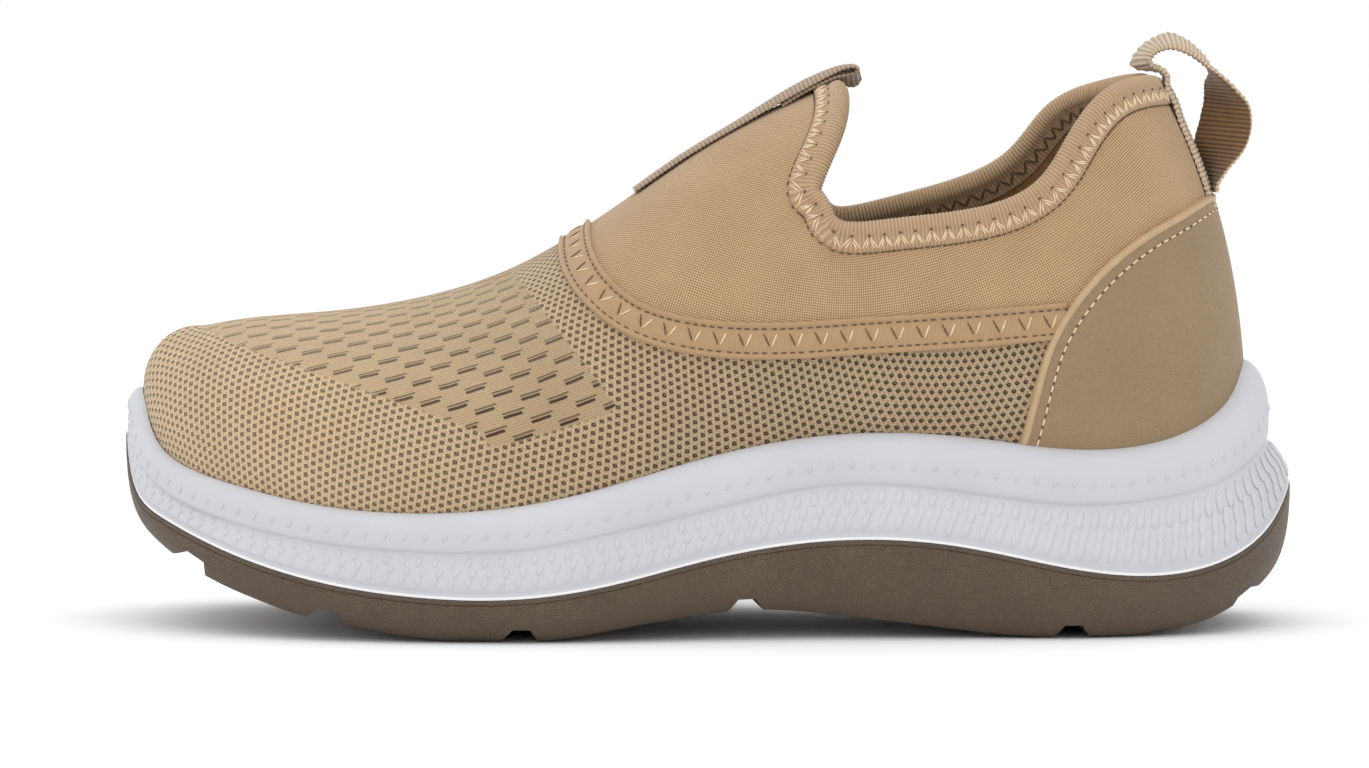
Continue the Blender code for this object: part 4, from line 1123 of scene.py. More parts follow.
for bar in cutters:
    bar.select_set(True)
bpy.context.view_layer.objects.active = cutters[0]
bpy.ops.object.join()
bars = bpy.context.object
cut = outsole.modifiers.new("grooves", "BOOLEAN")
cut.operation = "DIFFERENCE"
cut.solver = "EXACT"
cut.object = bars
alone(outsole)
bpy.ops.object.modifier_apply(modifier="grooves")
bpy.data.objects.remove(bars)
alone(outsole)
bpy.ops.object.shade_smooth_by_angle(angle=math.radians(40.0))
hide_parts("outsole")


# Footbed: a thin die-cut foam insole with a brushed cloth face, lying loose inside the upper.
footbed, wire = finish("brushed_footbed", Roughness=0.95, Sheen_Weight=0.3)
spots = wire.places()
nap = wire.noise(spots, 900.0, 4.0)
brushed = nap.choose(dye(158, 124, 84), dye(182, 146, 102))
feed(footbed, colour=brushed, height=nap, depth=0.0003, strength=0.4)
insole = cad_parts["insole"]
insole.data.materials.clear()
insole.data.materials.append(footbed)


# Seam tape: a woven tape about 7 mm wide with a cord along each edge, sewn over the seam where the
# knit meets the collar cloth. It runs from the counter up over the instep and down the other side.
def smooth_path(points, step):
    """Points at an even step along a smooth curve through a few of them."""
    curve = edge_curve(points)
    rough = [curve(k / 400.0) for k in range(401)]
    length = float(np.sum(np.linalg.norm(np.diff(np.array(rough), axis=0), axis=1)))
    count = max(2, int(length / step))
    return [Vector(curve(k / count)) for k in range(count + 1)]


def side_hits(outline, side, count):
    """Where an outline seen from the side lies on the upper's outer or inner side."""
    found = []
    for k in range(count + 1):
        x, z = outline(k / count)
        hit = SHEET_TREE.ray_cast(Vector((x, side * 0.2, z)), Vector((0.0, -side, 0.0)))[0]
        if hit:
            found.append(hit)
    return found


def across_instep(outline, step):
    """One path from the heel over the instep to the heel again, along an outline seen from the side."""
    outer = side_hits(outline, -1.0, 60)
    inner = side_hits(outline, 1.0, 60)
    top = outer[0]
    peak = Vector((top.x, middle(top.x), top.z + 0.002))
    outer = [point for point in outer if abs(point.y - middle(point.x)) > 0.008]
    inner = [point for point in inner if abs(point.y - middle(point.x)) > 0.008]
    path = smooth_path(outer[::-3] + [on_sheet(peak)[0]] + inner[::-3][::-1], step)
    return [on_sheet(point)[0] for point in path]


def grid_piece(name, rows, materials, uvs=None, closed_round=False, closed_ends=False, smooth=60.0):
    """A piece from rows of points: round closes each row, ends joins the last row to the first."""
    across = len(rows[0])
    points = [point for row in rows for point in row]
    faces = []
    for r in range(len(rows) if closed_ends else len(rows) - 1):
        following = (r + 1) % len(rows)
        for k in range(across if closed_round else across - 1):
            l = (k + 1) % across
            faces.append((r * across + k, r * across + l, following * across + l, following * across + k))
    if closed_round and not closed_ends:
        faces.append(tuple(range(across - 1, -1, -1)))
        faces.append(tuple((len(rows) - 1) * across + k for k in range(across)))
    piece = mesh_piece(name, points, faces, materials, smooth)
    if uvs:
        uv_from(piece, "cloth", [uv for row in uvs for uv in row])
    face_outward(piece)
    return piece


def sweep_on_sheet(name, path, outline, materials, closed=False, ripple=None):
    """A strip laid along a path on the upper: the outline gives each point's place across and height."""
    rows = []
    uvs = []
    run_length = 0.0
    for i, point in enumerate(path):
        before = path[i - 1] if (i > 0 or closed) else path[0]
        after = path[(i + 1) % len(path)] if (i + 1 < len(path) or closed) else path[-1]
        run = (after - before).normalized()
        spot, out = on_sheet(point)
        across = run.cross(out).normalized()
        if i:
            run_length += (point - path[i - 1]).length
        row = []
        for offset, height in outline:
            base, way = on_sheet(spot + across * offset)
            extra = ripple(run_length, offset) if ripple else 0.0
            row.append(base + way * (height + (extra if height > 0.0002 else 0.0)))
        rows.append(row)
        uvs.append([(run_length, offset) for offset, height in outline])
    return grid_piece(name, rows, materials, uvs, closed_round=True, closed_ends=closed)


SATIN_PITCH = 0.0005
TAPE_STEP = 0.0005
TAPE_HALF = 0.0037
TAPE_CORD = 0.0006
tape_cloth, wire = finish("tape_satin", Roughness=0.55, Sheen_Weight=0.2, Specular_IOR_Level=0.4)
flat = wire.cloth_places()
along = flat.part(0)
threads = (along * (2.0 * math.pi / SATIN_PITCH)).sine() * 0.5 + 0.5
slub = wire.noise(flat, 400.0, 3.0)
satin = (threads * 0.5 + slub * 0.4).choose(dye(190, 158, 118), dye(152, 120, 84))
feed(tape_cloth, colour=satin, height=threads + slub, depth=0.00015, strength=0.5)


def cord_arc(middle_of_cord, start, end):
    """The top of one of the tape's cords, from one turn to another."""
    turns = np.linspace(start, end, 6)
    return [(middle_of_cord + TAPE_CORD * math.cos(t), 0.0007 + TAPE_CORD * math.sin(t)) for t in turns]


tape_path = across_instep(band_curve, TAPE_STEP)
TAPE_CROWN = [(0.0026, 0.0006), (0.0018, 0.00085), (0.0008, 0.0009)]
tape_outline = [(-TAPE_HALF - TAPE_CORD, 0.0)] + cord_arc(-TAPE_HALF, 3.0, 0.2)
tape_outline += [(-across, height) for across, height in TAPE_CROWN] + TAPE_CROWN[::-1]
tape_outline += cord_arc(TAPE_HALF, 2.9, 0.1) + [(TAPE_HALF + TAPE_CORD, 0.0), (0.0, 0.0)]
tape = sweep_on_sheet("seam_tape", tape_path, tape_outline, [tape_cloth])
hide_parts("instep_band")


# Heel counter: a stiff panel of smooth synthetic leather round the heel, its swept edge folded
# over a cord and sewn down with one row of stitches.
COUNTER_EDGE = [
    (0.758, 0.300),
    (0.763, 0.337),
    (0.775, 0.438),
    (0.788, 0.527),
    (0.806, 0.592),
    (0.832, 0.656),
    (0.866, 0.713),
    (0.906, 0.759),
    (0.940, 0.800),
    (1.010, 0.900),
]
COUNTER_LIFT = 0.0013
counter_curve = side_curve(COUNTER_EDGE)

leather, wire = finish("counter_leather", Roughness=0.42, Specular_IOR_Level=0.4)
spots = wire.places()
pores = wire.node("TexVoronoi", {"feature": "DISTANCE_TO_EDGE"}, {"Vector": spots, "Scale": 1300.0})
shade = wire.noise(spots, 45.0, 3.0)
fine = wire.noise(spots, 1100.0, 3.0)
colour = (shade * 0.5 + fine * 0.5).choose(dye(132, 110, 82), dye(163, 138, 106))
relief = pores.rise(0.0, 0.3) + fine
feed(leather, colour=colour, roughness=0.42 + shade * 0.12, height=relief, depth=0.0002, strength=0.6)

counter_faces = [face for face in SHEET_FACES if all(SHEET_POINTS[i].x > 0.060 for i in face)]
lifted = [point + normal * COUNTER_LIFT for point, normal in zip(SHEET_POINTS, SHEET_NORMALS)]
counter = mesh_piece("heel_counter_skin", lifted, counter_faces, [leather], 0.0)
alone(counter)
bpy.ops.object.mode_set(mode="EDIT")
bpy.ops.mesh.select_all(action="SELECT")
bpy.ops.mesh.delete_loose()
bpy.ops.object.mode_set(mode="OBJECT")
wall = counter.modifiers.new("wall", "SOLIDIFY")
wall.thickness = COUNTER_LIFT - 0.0001
wall.offset = -1.0
bpy.ops.object.modifier_apply(modifier="wall")
outline = [tuple(counter_curve(k / 40.0)) for k in range(41)]
outline += [(0.170, outline[-1][1]), (0.170, 0.0), (outline[0][0] - 0.002, 0.0)]
count = len(outline)
corners = [(x, -0.1, z) for x, z in outline] + [(x, 0.1, z) for x, z in outline]
sides = [tuple(range(count)), tuple(range(2 * count - 1, count - 1, -1))]
sides += [((i + 1) % count, i, i + count, (i + 1) % count + count) for i in range(count)]
knife = mesh_piece("counter_knife", corners, sides, [], 0.0)
face_outward(knife)
cut = counter.modifiers.new("outline", "BOOLEAN")
cut.operation = "INTERSECT"
cut.solver = "EXACT"
cut.object = knife
alone(counter)
bpy.ops.object.modifier_apply(modifier="outline")
bpy.data.objects.remove(knife)
alone(counter)
bpy.ops.object.shade_smooth_by_angle(angle=math.radians(40.0))
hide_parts("heel_counter")


def round_heel(outline, step):
    """One path round the back of the heel along an outline seen from the side, low end to low end."""
    outer = side_hits(outline, -1.0, 60)
    inner = side_hits(outline, 1.0, 60)
    outer = [point for point in outer if abs(point.y - middle(point.x)) > 0.006]
    inner = [point for point in inner if abs(point.y - middle(point.x)) > 0.006]
    back = COLUMNS[HEEL]
    heights = [point.z for point in back]
    reach = [float(np.interp(point.x, BACK_X, BACK_Z)) for point in back]
    gaps = [abs(a - b) for a, b in zip(heights, reach)]
    peak = back[2 + int(np.argmin(gaps[2:]))]
    sparse = outer[::-4][::-1] + [peak] + inner[::-4]
    path = smooth_path(sparse, step)
    return [on_sheet(point)[0] for point in path]


BACK_X = [float(counter_curve(k / 40.0)[0]) for k in range(41)]
BACK_Z = [float(counter_curve(k / 40.0)[1]) for k in range(41)]
counter_path = round_heel(counter_curve, 0.0005)
fold, wire = finish("counter_fold", Roughness=0.5, Specular_IOR_Level=0.4)
spots = wire.places()
colour = wire.noise(spots, 300.0, 3.0).choose(dye(196, 168, 132), dye(178, 150, 114))
feed(fold, colour=colour, height=wire.noise(spots, 1200.0, 3.0), depth=0.0001, strength=0.3)
FOLD_HALF = 0.0009
arc = [(FOLD_HALF * math.cos(t), 0.0006 + 0.0012 * math.sin(t)) for t in np.linspace(3.14, 0.0, 9)]
fold_outline = [(-FOLD_HALF * 1.1, 0.0)] + arc + [(FOLD_HALF * 1.1, 0.0)]
counter_fold = sweep_on_sheet("counter_fold", counter_path, fold_outline, [fold])


# Bound collar: a ribbed knit binding rolled over the edge of the opening and down both faces,
# held by a zigzag of thick thread between two rows of small stitches.
def opening_frames(step):
    """Even places round the opening's edge: the spot, the way out of the cloth and the way off the edge."""
    count = len(COLUMNS)
    last = COLLAR_ROW + ARCH_ROWS
    keys = [(FOOT_OF_TONGUE, j) for j in range(last, COLLAR_ROW, -1)]
    keys += [(i, COLLAR_ROW) for i in range(FOOT_OF_TONGUE, count - FOOT_OF_TONGUE + 1)]
    keys += [(count - FOOT_OF_TONGUE, j) for j in range(COLLAR_ROW + 1, last)]
    spots = np.array([tuple(SHEET_POINTS[SHEET_AT[key]]) for key in keys])
    outs = np.array([tuple(SHEET_NORMALS[SHEET_AT[key]]) for key in keys])
    for _ in range(3):
        outs = (np.roll(outs, 1, 0) + outs * 2.0 + np.roll(outs, -1, 0)) / 4.0
    closed = np.vstack([spots, spots[:1]])
    lengths = np.concatenate([[0.0], np.cumsum(np.linalg.norm(np.diff(closed, axis=0), axis=1))])
    even = np.arange(0.0, lengths[-1], step)
    path = np.array([np.interp(even, lengths, closed[:, k]) for k in range(3)]).T
    ways = np.array([np.interp(even, lengths, np.append(outs[:, k], outs[0, k])) for k in range(3)]).T
    path = evened(path, 0.0018 / step)
    ways = evened(ways, 0.0028 / step)
    runs = evened(np.roll(path, -1, 0) - np.roll(path, 1, 0), 0.0012 / step)
    frames = []
    for spot, way, run in zip(path, ways, runs):
        run = Vector(run).normalized()
        out = Vector(way)
        out = (out - run * out.dot(run)).normalized()
        frames.append((Vector(spot), out, out.cross(run), run))
    return frames, float(np.sum(np.linalg.norm(np.diff(np.vstack([path, path[:1]]), axis=0), axis=1)))


def evened(rows, spread):
    """Rows of numbers round a closed path, each averaged with its neighbours in a bell of this spread."""
    reach = int(spread * 3.0)
    total = np.zeros_like(rows)
    weight = 0.0
    for shift in range(-reach, reach + 1):
        share = math.exp(-0.5 * (shift / spread) ** 2)
        total += np.roll(rows, shift, 0) * share
        weight += share
    return total / weight


def pressed(spot):
    """How far the binding swells: less where the webbing lies over it at the heel and the instep."""
    aside = abs(spot.y - middle(spot.x))
    free = min(1.0, max(0.0, (aside - 0.0066) / 0.0025))
    return free * free * (3.0 - 2.0 * free)


# Above this line the binding rolls over the edge; below it its flap lies on the cloth
FLAP_TOP = -0.0026


def binding_point(frame_here, off_edge, out_of_cloth):
    """A point of the binding from its place off the edge and out of the cloth's outer face."""
    spot, out, leave, run = frame_here
    if off_edge < FLAP_TOP and out_of_cloth > -0.002:
        base, way = on_sheet(spot + leave * off_edge)
        return base + way * out_of_cloth
    return spot + leave * off_edge + out * out_of_cloth


RIB_PITCH = 0.00085
BINDING_STEP = 0.00025
binding_frames, opening_length = opening_frames(BINDING_STEP)
binding_cloth, wire = finish("ribbed_binding", Roughness=0.75, Sheen_Weight=0.3, Specular_IOR_Level=0.3)
flat = wire.cloth_places()
along = flat.part(0)
ribs = (along * (2.0 * math.pi / RIB_PITCH)).sine() * 0.5 + 0.5
slub = wire.noise(flat, 500.0, 3.0)
colour = (ribs * 0.5 + slub * 0.3).choose(dye(152, 122, 90), dye(206, 176, 140))
feed(binding_cloth, colour=colour, height=ribs + slub * 0.4, depth=0.0002, strength=0.6)

BINDING_OUTLINE = [
    # off the edge, out of the cloth: the outer flap, the roll, then back inside
    (-0.0064, 0.0001),
    (-0.0063, 0.0006),
    (-0.0055, 0.0009),
    (-0.0046, 0.0010),
    (-0.0036, 0.0009),
    (-0.0028, 0.0009),
    (-0.0022, 0.0014),
    (-0.0013, 0.0018),
    (-0.0003, 0.0017),
    (0.0006, 0.0011),
    (0.0012, 0.0002),
    (0.0014, -0.0011),
    (0.0012, -0.0023),
    (0.0005, -0.0033),
    (-0.0006, -0.0040),
    (-0.0018, -0.0042),
    (-0.0028, -0.0035),
    (-0.0042, -0.0034),
    (-0.0056, -0.0034),
    (-0.0066, -0.0032),
    (-0.0068, -0.0026),
    (-0.0055, -0.0012),
    (-0.0035, -0.0006),
]
rows = []
uvs = []
for number, here in enumerate(binding_frames):
    travelled = opening_length * number / len(binding_frames)
    swell = 0.00012 * math.sin(2.0 * math.pi * travelled / RIB_PITCH)
    free = pressed(here[0])
    row = []
    for off_edge, above in BINDING_OUTLINE:
        if off_edge > FLAP_TOP:
            off_edge += swell
        if off_edge > 0.0:
            off_edge *= 0.4 + 0.6 * free
        if above > 0.0009:
            above = 0.0009 + (above - 0.0009) * free
        row.append(binding_point(here, off_edge, above))
    rows.append(row)
    uvs.append([(travelled, off_edge) for off_edge, above in BINDING_OUTLINE])
ring = {"closed_round": True, "closed_ends": True}
binding = grid_piece("collar_binding_roll", rows, [binding_cloth], uvs, **ring)
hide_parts("collar_binding")


def thread_finish(name, roughness, shaded, lit):
    """Twisted thread, mottled between two colours."""
    made, wire = finish(name, Roughness=roughness)
    spots = wire.places()
    colour = wire.noise(spots, 900.0, 2.0).choose(shaded, lit)
    feed(made, colour=colour, height=wire.noise(spots, 2500.0, 2.0), depth=0.0001, strength=0.4)
    return made


light_thread = thread_finish("light_thread", 0.5, dye(214, 188, 150), dye(240, 220, 188))
# Dark thread, also laid as painted shade in the needle holes, the counter's stitch groove, the binding's
# inner zigzag and beside the tape's light legs.
dark_thread_and_shade = thread_finish("dark_thread_and_shade", 0.6, dye(84, 60, 36), dye(112, 84, 54))
bpy.ops.object.select_all(action="DESELECT")
bpy.ops.mesh.primitive_uv_sphere_add(segments=8, ring_count=6, radius=1.0)
stitch = bpy.context.object


def thread(start, end, out, thickness):
    """Where one thread lies, from a start to an end, pressed a little flat."""
    run = (end - start) * 0.5
    side = out.cross(run).normalized()
    return ((start + end) * 0.5, run, side * thickness, out.normalized() * (thickness * 0.8))


def at_length(frames, length, total):
    return frames[int(length / total * len(frames)) % len(frames)]


ZIGZAG_PITCH = 0.0036
SEAM_PITCH = 0.0013
zigzag = []
shaded_inner_zigzag = []
holes = []
line = []
stitch_count = round(opening_length / ZIGZAG_PITCH)
for number in range(stitch_count):
    middle_length = number * opening_length / stitch_count
    head = at_length(binding_frames, middle_length, opening_length)
    for side in (-1.0, 1.0):
        for aside in (0.0, 0.00065):
            foot = at_length(binding_frames, middle_length + side * (0.0017 - aside), opening_length)
            start = binding_point(head, -0.0030 - aside, 0.0011) + head[3] * (side * 0.00015)
            zigzag.append(thread(start, binding_point(foot, -0.0058, 0.0010), head[1], 0.00019))
        # The zigzag on the binding's inner face is the same thread, painted dark as shade.
        foot = at_length(binding_frames, middle_length + side * 0.0018, opening_length)
        ends = (binding_point(head, -0.0030, -0.0038), binding_point(foot, -0.0055, -0.0037))
        shaded_inner_zigzag.append(thread(*ends, head[1], 0.00030))
    # Painted shade: a dark blob in the needle hole at each zigzag head.
    spot = binding_point(head, -0.0026, 0.00105)
    holes.append(thread(spot - head[3] * 0.00035, spot + head[3] * 0.00035, head[1], 0.00036))
for number in range(int(opening_length / SEAM_PITCH)):
    here = at_length(binding_frames, number * SEAM_PITCH, opening_length)
    spot = binding_point(here, -0.0067, 0.00005)
    line.append(thread(spot - here[3] * 0.0006, spot + here[3] * 0.0006, here[1], 0.00020))
for name, frames, material in (
    ("binding_zigzag", zigzag, light_thread),
    ("binding_inner_zigzag", shaded_inner_zigzag, dark_thread_and_shade),
    ("binding_needle_hole_shade", holes, dark_thread_and_shade),
    ("binding_seam_line", line, dark_thread_and_shade),
):
    threads = copies(name, stitch, frames, material)


def stitched(path, offset, pitch, share, height, thickness):
    """Stitches in a row beside a path on the upper."""
    frames = []
    travelled = 0.0
    due = 0.0
    for before, after in zip(path, path[1:]):
        travelled += (after - before).length
        if travelled < due:
            continue
        due += pitch
        spot, out = on_sheet(before)
        run = (after - before).normalized()
        spot, out = on_sheet(spot + run.cross(out).normalized() * offset)
        spot += out * height
        reach = run * (pitch * share * 0.5)
        frames.append(thread(spot - reach, spot + reach, out, thickness))
    return frames


rows = [stitched(tape_path, offset, 0.0021, 0.7, 0.0007, 0.00022) for offset in (-0.0028, 0.0028)]
tape_rows = copies("tape_stitches", stitch, rows[0] + rows[1], dark_thread_and_shade)
light_legs = []
dark_legs = []
for number in range(8, len(tape_path) - 8, 12):
    before = tape_path[number - 4]
    here = tape_path[number]
    after = tape_path[number + 4]
    run = (after - before).normalized()
    spot, out = on_sheet(here)
    across = run.cross(out).normalized()
    for side, legs in ((-1.0, light_legs), (1.0, dark_legs)):
        top = spot - across * 0.0014 + out * 0.0010 + run * (side * 0.0002)
        foot = spot + across * 0.0018 + out * 0.0009 + run * (side * 0.0016)
        legs.append(thread(top, foot, out, 0.00022))
tape_embroidery = copies("tape_embroidery", stitch, light_legs, light_thread)
tape_shaded_legs = copies("tape_shaded_legs", stitch, dark_legs, dark_thread_and_shade)
frames = stitched(counter_path, 0.0030, 0.0026, 0.75, COUNTER_LIFT, 0.00026)
counter_stitches = copies("counter_stitches", stitch, frames, light_thread)
# Painted shade: a continuous line of dark thread in the groove along the stitches.
gaps = stitched(counter_path, 0.0030, 0.0013, 1.0, COUNTER_LIFT - 0.0001, 0.00034)
counter_groove_shade = copies("counter_stitch_groove_shade", stitch, gaps, dark_thread_and_shade)
bpy.data.objects.remove(stitch)


# Pull loop: one length of ribbed webbing sewn up the back of the heel, carried over the collar,
# turned a quarter and brought back down to the counter's top.
WEBBING_THICKNESS = 0.0014
WEFT_PITCH = 0.0011
EDGE_PITCH = 0.0015
WEBBING_STEP = 0.00018
LOOP_WIDTH = 0.0140
BINDING_GAP = 0.0005
BINDING_THICKNESS = 0.0010
# The two edges of the loop seen from the side, in millimetres: near edge, then far edge
LOOP_EDGES = [
    # near x, near z, far x, far z
    (109.6, 131.2, 110.3, 131.0),
    (107.6, 132.9, 107.3, 132.6),
    (106.2, 133.6, 103.9, 132.9),
    (105.6, 134.5, 102.4, 133.8),
    (105.9, 135.6, 103.2, 135.8),
    (107.0, 136.7, 105.0, 138.0),
    (108.6, 137.4, 107.8, 139.8),
    (110.8, 137.7, 110.8, 140.9),
    (113.3, 137.1, 113.8, 140.1),
    (115.8, 135.9, 116.9, 138.1),
    (118.0, 134.4, 119.1, 135.9),
    (119.8, 132.9, 120.8, 133.5),
    (121.6, 131.7, 121.2, 131.6),
    (123.5, 130.2, 120.4, 130.1),
    (126.0, 127.9, 120.0, 128.4),
    (128.2, 125.6, 119.9, 126.6),
    (129.6, 123.5, 119.6, 124.4),
    (130.1, 121.1, 119.0, 122.3),
    (130.2, 118.9, 118.4, 119.8),
    (129.7, 116.1, 117.6, 117.2),
    (128.5, 113.5, 117.3, 114.5),
    (126.5, 111.0, 117.7, 112.0),
    (124.3, 108.7, 118.9, 109.4),
    (122.9, 106.8, 120.1, 107.1),
    (121.9, 105.2, 121.0, 105.0),
    (121.6, 103.2, 121.0, 103.0),
]

webbing, wire = finish("ribbed_webbing", Roughness=0.6, Sheen_Weight=0.25, Specular_IOR_Level=0.35)
flat = wire.cloth_places()
along = flat.part(0)
across = flat.part(1)
inside = wire.shares_of("inner_shade_and_tab_tone")
ribs = (along * 5712.0).sine() * 0.5 + 0.5
picks = (across * 12566.0).sine() * 0.5 + 0.5
slub = wire.noise(flat, 500.0, 3.0)
weft = (ribs * 0.65 + picks * 0.15 + slub * 0.3 - 0.1).clip()
light_weave = weft.choose(dye(156, 130, 100), dye(222, 202, 174))
shaded_weave = weft.choose(dye(82, 56, 32), dye(150, 116, 78))
# Painted shade: the loop's inner face, turned from the light, takes the darker weave.
colour = inside.clip().choose(light_weave, shaded_weave)
feed(webbing, colour=colour, height=ribs + picks * 0.4, depth=0.0002, strength=0.6)

WEBBING_SECTION = [(-0.5, 0.0), (-0.49, 0.8), (-0.46, 1.05), (-0.43, 0.7)]
WEBBING_SECTION += [(share, 1.0) for share in (-0.4, -0.3, -0.15, 0.0, 0.15, 0.3, 0.4)]
WEBBING_SECTION += [(0.43, 0.7), (0.46, 1.05), (0.49, 0.8), (0.5, 0.0)]


def webbing_strip(name, rows, shade_from):
    """Woven strip through rows of points across it, near edge first: raised ribs, braided edges, and painted
    shade on the inner face from shade_from on.
    """
    both = edge_curve([(*near, *far, bulge) for near, far, bulge in rows])
    length = sum(((b[0] + b[1]) - (a[0] + a[1])).length * 0.5 for a, b in zip(rows, rows[1:]))
    steps = int(length / WEBBING_STEP)
    fine = [both(k / steps) for k in range(steps + 1)]
    grid = [(Vector(values[:3]), Vector(values[3:6]), values[6]) for values in fine]
    ring_rows = []
    uvs = []
    shades = []
    for i, (near, far, bulge) in enumerate(grid):
        travelled = length * i / steps
        before = grid[max(i - 2, 0)]
        after = grid[min(i + 2, steps)]
        face = (after[0] + after[1] - before[0] - before[1]).cross(far - near).normalized()
        high, low = [], []
        for share, height in WEBBING_SECTION:
            point = near.lerp(far, share + 0.5) - face * (bulge * (1.0 - 4.0 * share * share))
            if abs(share) < 0.42:
                rib = 1.0 + 0.22 * math.sin(2.0 * math.pi * travelled / WEFT_PITCH)
            else:
                turn = 2.0 * math.pi * travelled / EDGE_PITCH + (1.5 if share > 0.0 else 0.0)
                rib = 1.0 + 0.25 * math.sin(turn)
            lift = face * (height * WEBBING_THICKNESS * 0.42 * rib)
            high.append(point + lift)
            low.append(point - lift)
        ring_rows.append(high + low[-2:0:-1])
        round_it = WEBBING_SECTION + WEBBING_SECTION[-2:0:-1]
        uvs.append([(travelled, share * LOOP_WIDTH) for share, height in round_it])
        shade = min(1.0, max(0.0, (travelled - shade_from) / 0.010))
        shades += [0.0] * len(high) + [shade] * (len(low) - 2)
    piece = grid_piece(name, ring_rows, [webbing], uvs, closed_round=True)
    attribute = piece.data.attributes.new("inner_shade_and_tab_tone", "FLOAT", "POINT")
    attribute.data.foreach_set("value", shades)
    return piece


heel_y = float(middle(place(COLLAR[-1][0])))
half_width = Vector((0.0, LOOP_WIDTH * 0.5, 0.0))
loop_rows = []
back_top = COLUMNS[HEEL][COLLAR_ROW].z
LEG = [
    # below the collar's edge, out of the cloth
    (0.0300, 0.0008),
    (0.0250, 0.0008),
    (0.0200, 0.0008),
    (0.0140, 0.0008),
    (0.0090, 0.0010),
    (0.0055, 0.0016),
    (0.0020, 0.0018),
]
for down, lift in LEG:
    j = int(np.argmin([abs(point.z - back_top + down) for point in COLUMNS[HEEL]]))
    spot, way = on_sheet(COLUMNS[HEEL][j])
    near, near_way = on_sheet(spot - half_width)
    far, far_way = on_sheet(spot + half_width)
    near += near_way * lift
    far += far_way * lift
    loop_rows.append((near, far, (spot + way * lift - (near + far) * 0.5).dot(way)))
for near_x, near_z, far_x, far_z in LOOP_EDGES:
    near = Vector((near_x, 0.0, near_z)) / 1000.0
    far = Vector((far_x, 0.0, far_z)) / 1000.0
    deep = Vector((0.0, math.sqrt(LOOP_WIDTH**2 - (far - near).length_squared) * 0.5, 0.0))
    level = Vector((0.0, heel_y, 0.0))
    loop_rows.append((near + level - deep, far + level + deep, 0.0))
heel_loop = webbing_strip("heel_loop_webbing", loop_rows, 0.034)
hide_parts("heel_loop")


# Front tab: a strip of the same webbing sewn up the middle of the instep and over the binding,
# its end turned under to pull the shoe on by.
TAB_WIDTH = 0.0140
TAB_START = 0.407
TAB_THICKNESS = 0.0010
# The tab past the bound edge, turned under and run back beneath itself, in metres
TAB_FOLD = [
    # reach ahead, how far the near edge sinks, how far the far edge sinks
    (0.0000, 0.0000, 0.0001),
    (0.0022, 0.0000, 0.0008),
    (0.0040, 0.0003, 0.0018),
    (0.0052, 0.0009, 0.0026),
    (0.0055, 0.0016, 0.0034),
    (0.0049, 0.0021, 0.0042),
    (0.0036, 0.0021, 0.0046),
    (0.0020, 0.0017, 0.0038),
    (0.0004, 0.0013, 0.0022),
    (-0.0015, 0.0012, 0.0013),
    (-0.0040, 0.0012, 0.0012),
    (-0.0070, 0.0012, 0.0012),
    (-0.0105, 0.0015, 0.0015),
    (-0.0145, 0.0021, 0.0021),
]
TAB_ACROSS = [TAB_WIDTH * share for share in (-0.5, -0.45, -0.4, -0.3, -0.15, 0.0, 0.15, 0.3, 0.4, 0.45, 0.5)]
tab_on_cloth = FIT_GAP + TAB_THICKNESS * 0.6
tab_on_binding = tab_on_cloth + BINDING_GAP + BINDING_THICKNESS + 0.0004


def fall_beside(spot, out, y):
    """How far the upper's face falls away beside a point of the instep's middle line."""
    beside = spot + Vector((0.0, y, 0.0))
    hit = SHEET_TREE.ray_cast(beside + out * TAB_WIDTH, -out)[0]
    return (hit - beside).dot(out)


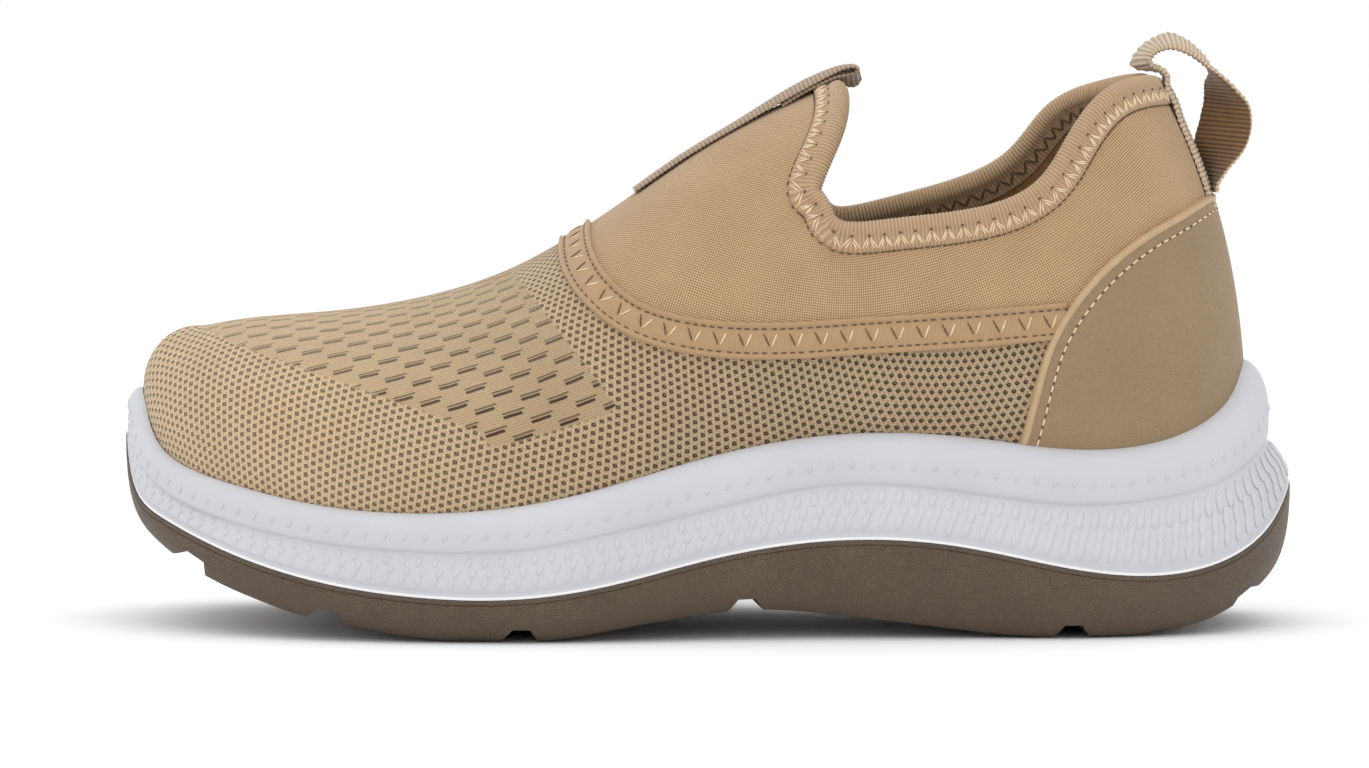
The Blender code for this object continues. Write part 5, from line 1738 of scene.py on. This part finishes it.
ridge = COLLAR_ROW + ARCH_ROWS
spine = [SHEET_AT[(i, ridge)] for i in range(FOOT_OF_TONGUE + 1)]
edge = SHEET_POINTS[spine[-1]]
edge_out = SHEET_NORMALS[spine[-1]]
ahead = (edge - SHEET_POINTS[spine[-9]]).normalized()
sparse = []
for i in spine[:-6:4]:
    if SHEET_POINTS[i].x >= place(TAB_START):
        near = (edge - SHEET_POINTS[i]).length
        near = min(1.0, max(0.0, (0.0110 - near) / 0.0045))
        lift = tab_on_cloth + (tab_on_binding - tab_on_cloth) * near
        falls = [fall_beside(SHEET_POINTS[i], SHEET_NORMALS[i], y) for y in TAB_ACROSS]
        sparse.append((SHEET_POINTS[i] + SHEET_NORMALS[i] * lift, SHEET_NORMALS[i], falls))
for reach, near_sink, far_sink in TAB_FOLD:
    sinks = [near_sink + (far_sink - near_sink) * (y / TAB_WIDTH + 0.5) for y in TAB_ACROSS]
    lowered = [fall - sink for fall, sink in zip(falls, sinks)]
    sparse.append((edge + edge_out * tab_on_binding + ahead * reach, edge_out, lowered))
runs = []
for spot, out, falls in sparse:
    runs.append([spot + Vector((0.0, y, 0.0)) + out * fall for y, fall in zip(TAB_ACROSS, falls)])
lanes = [edge_curve([row[k] for row in runs]) for k in range(len(TAB_ACROSS))]
tab_length = sum((b[5] - a[5]).length for a, b in zip(runs, runs[1:]))
tab_steps = int(tab_length / WEBBING_STEP)
tab_grid = [[Vector(lane(k / tab_steps)) for lane in lanes] for k in range(tab_steps + 1)]
TAB_HEIGHTS = (0.0, 1.0, 0.75, 1.0, 1.0, 1.0, 1.0, 1.0, 0.75, 1.0, 0.0)
ring_rows = []
tab_uvs = []
for i, row in enumerate(tab_grid):
    travelled = tab_length * i / tab_steps
    after = tab_grid[min(i + 1, tab_steps)]
    before = tab_grid[max(i - 1, 0)]
    swell = 1.0 + 0.2 * math.sin(2.0 * math.pi * travelled / WEFT_PITCH)
    faces_out = []
    for k, point in enumerate(row):
        face = (after[k] - before[k]).cross(Vector((0.0, 1.0, 0.0))).normalized()
        faces_out.append(face * (TAB_HEIGHTS[k] * TAB_THICKNESS * 0.45 * swell))
    high = [point + face for point, face in zip(row, faces_out)]
    low = [point - face for point, face in zip(row, faces_out)]
    ring_rows.append(high + low[-2:0:-1])
    tab_uvs.append([(travelled, y) for y in TAB_ACROSS + TAB_ACROSS[-2:0:-1]])
front_tab = grid_piece("front_tab_webbing", ring_rows, [webbing], tab_uvs, closed_round=True)
# The whole tab is mixed 0.55 of the way to the webbing's darker, painted-shade weave.
attribute = front_tab.data.attributes.new("inner_shade_and_tab_tone", "FLOAT", "POINT")
attribute.data.foreach_set("value", [0.55] * len(front_tab.data.vertices))
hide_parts("front_tab")
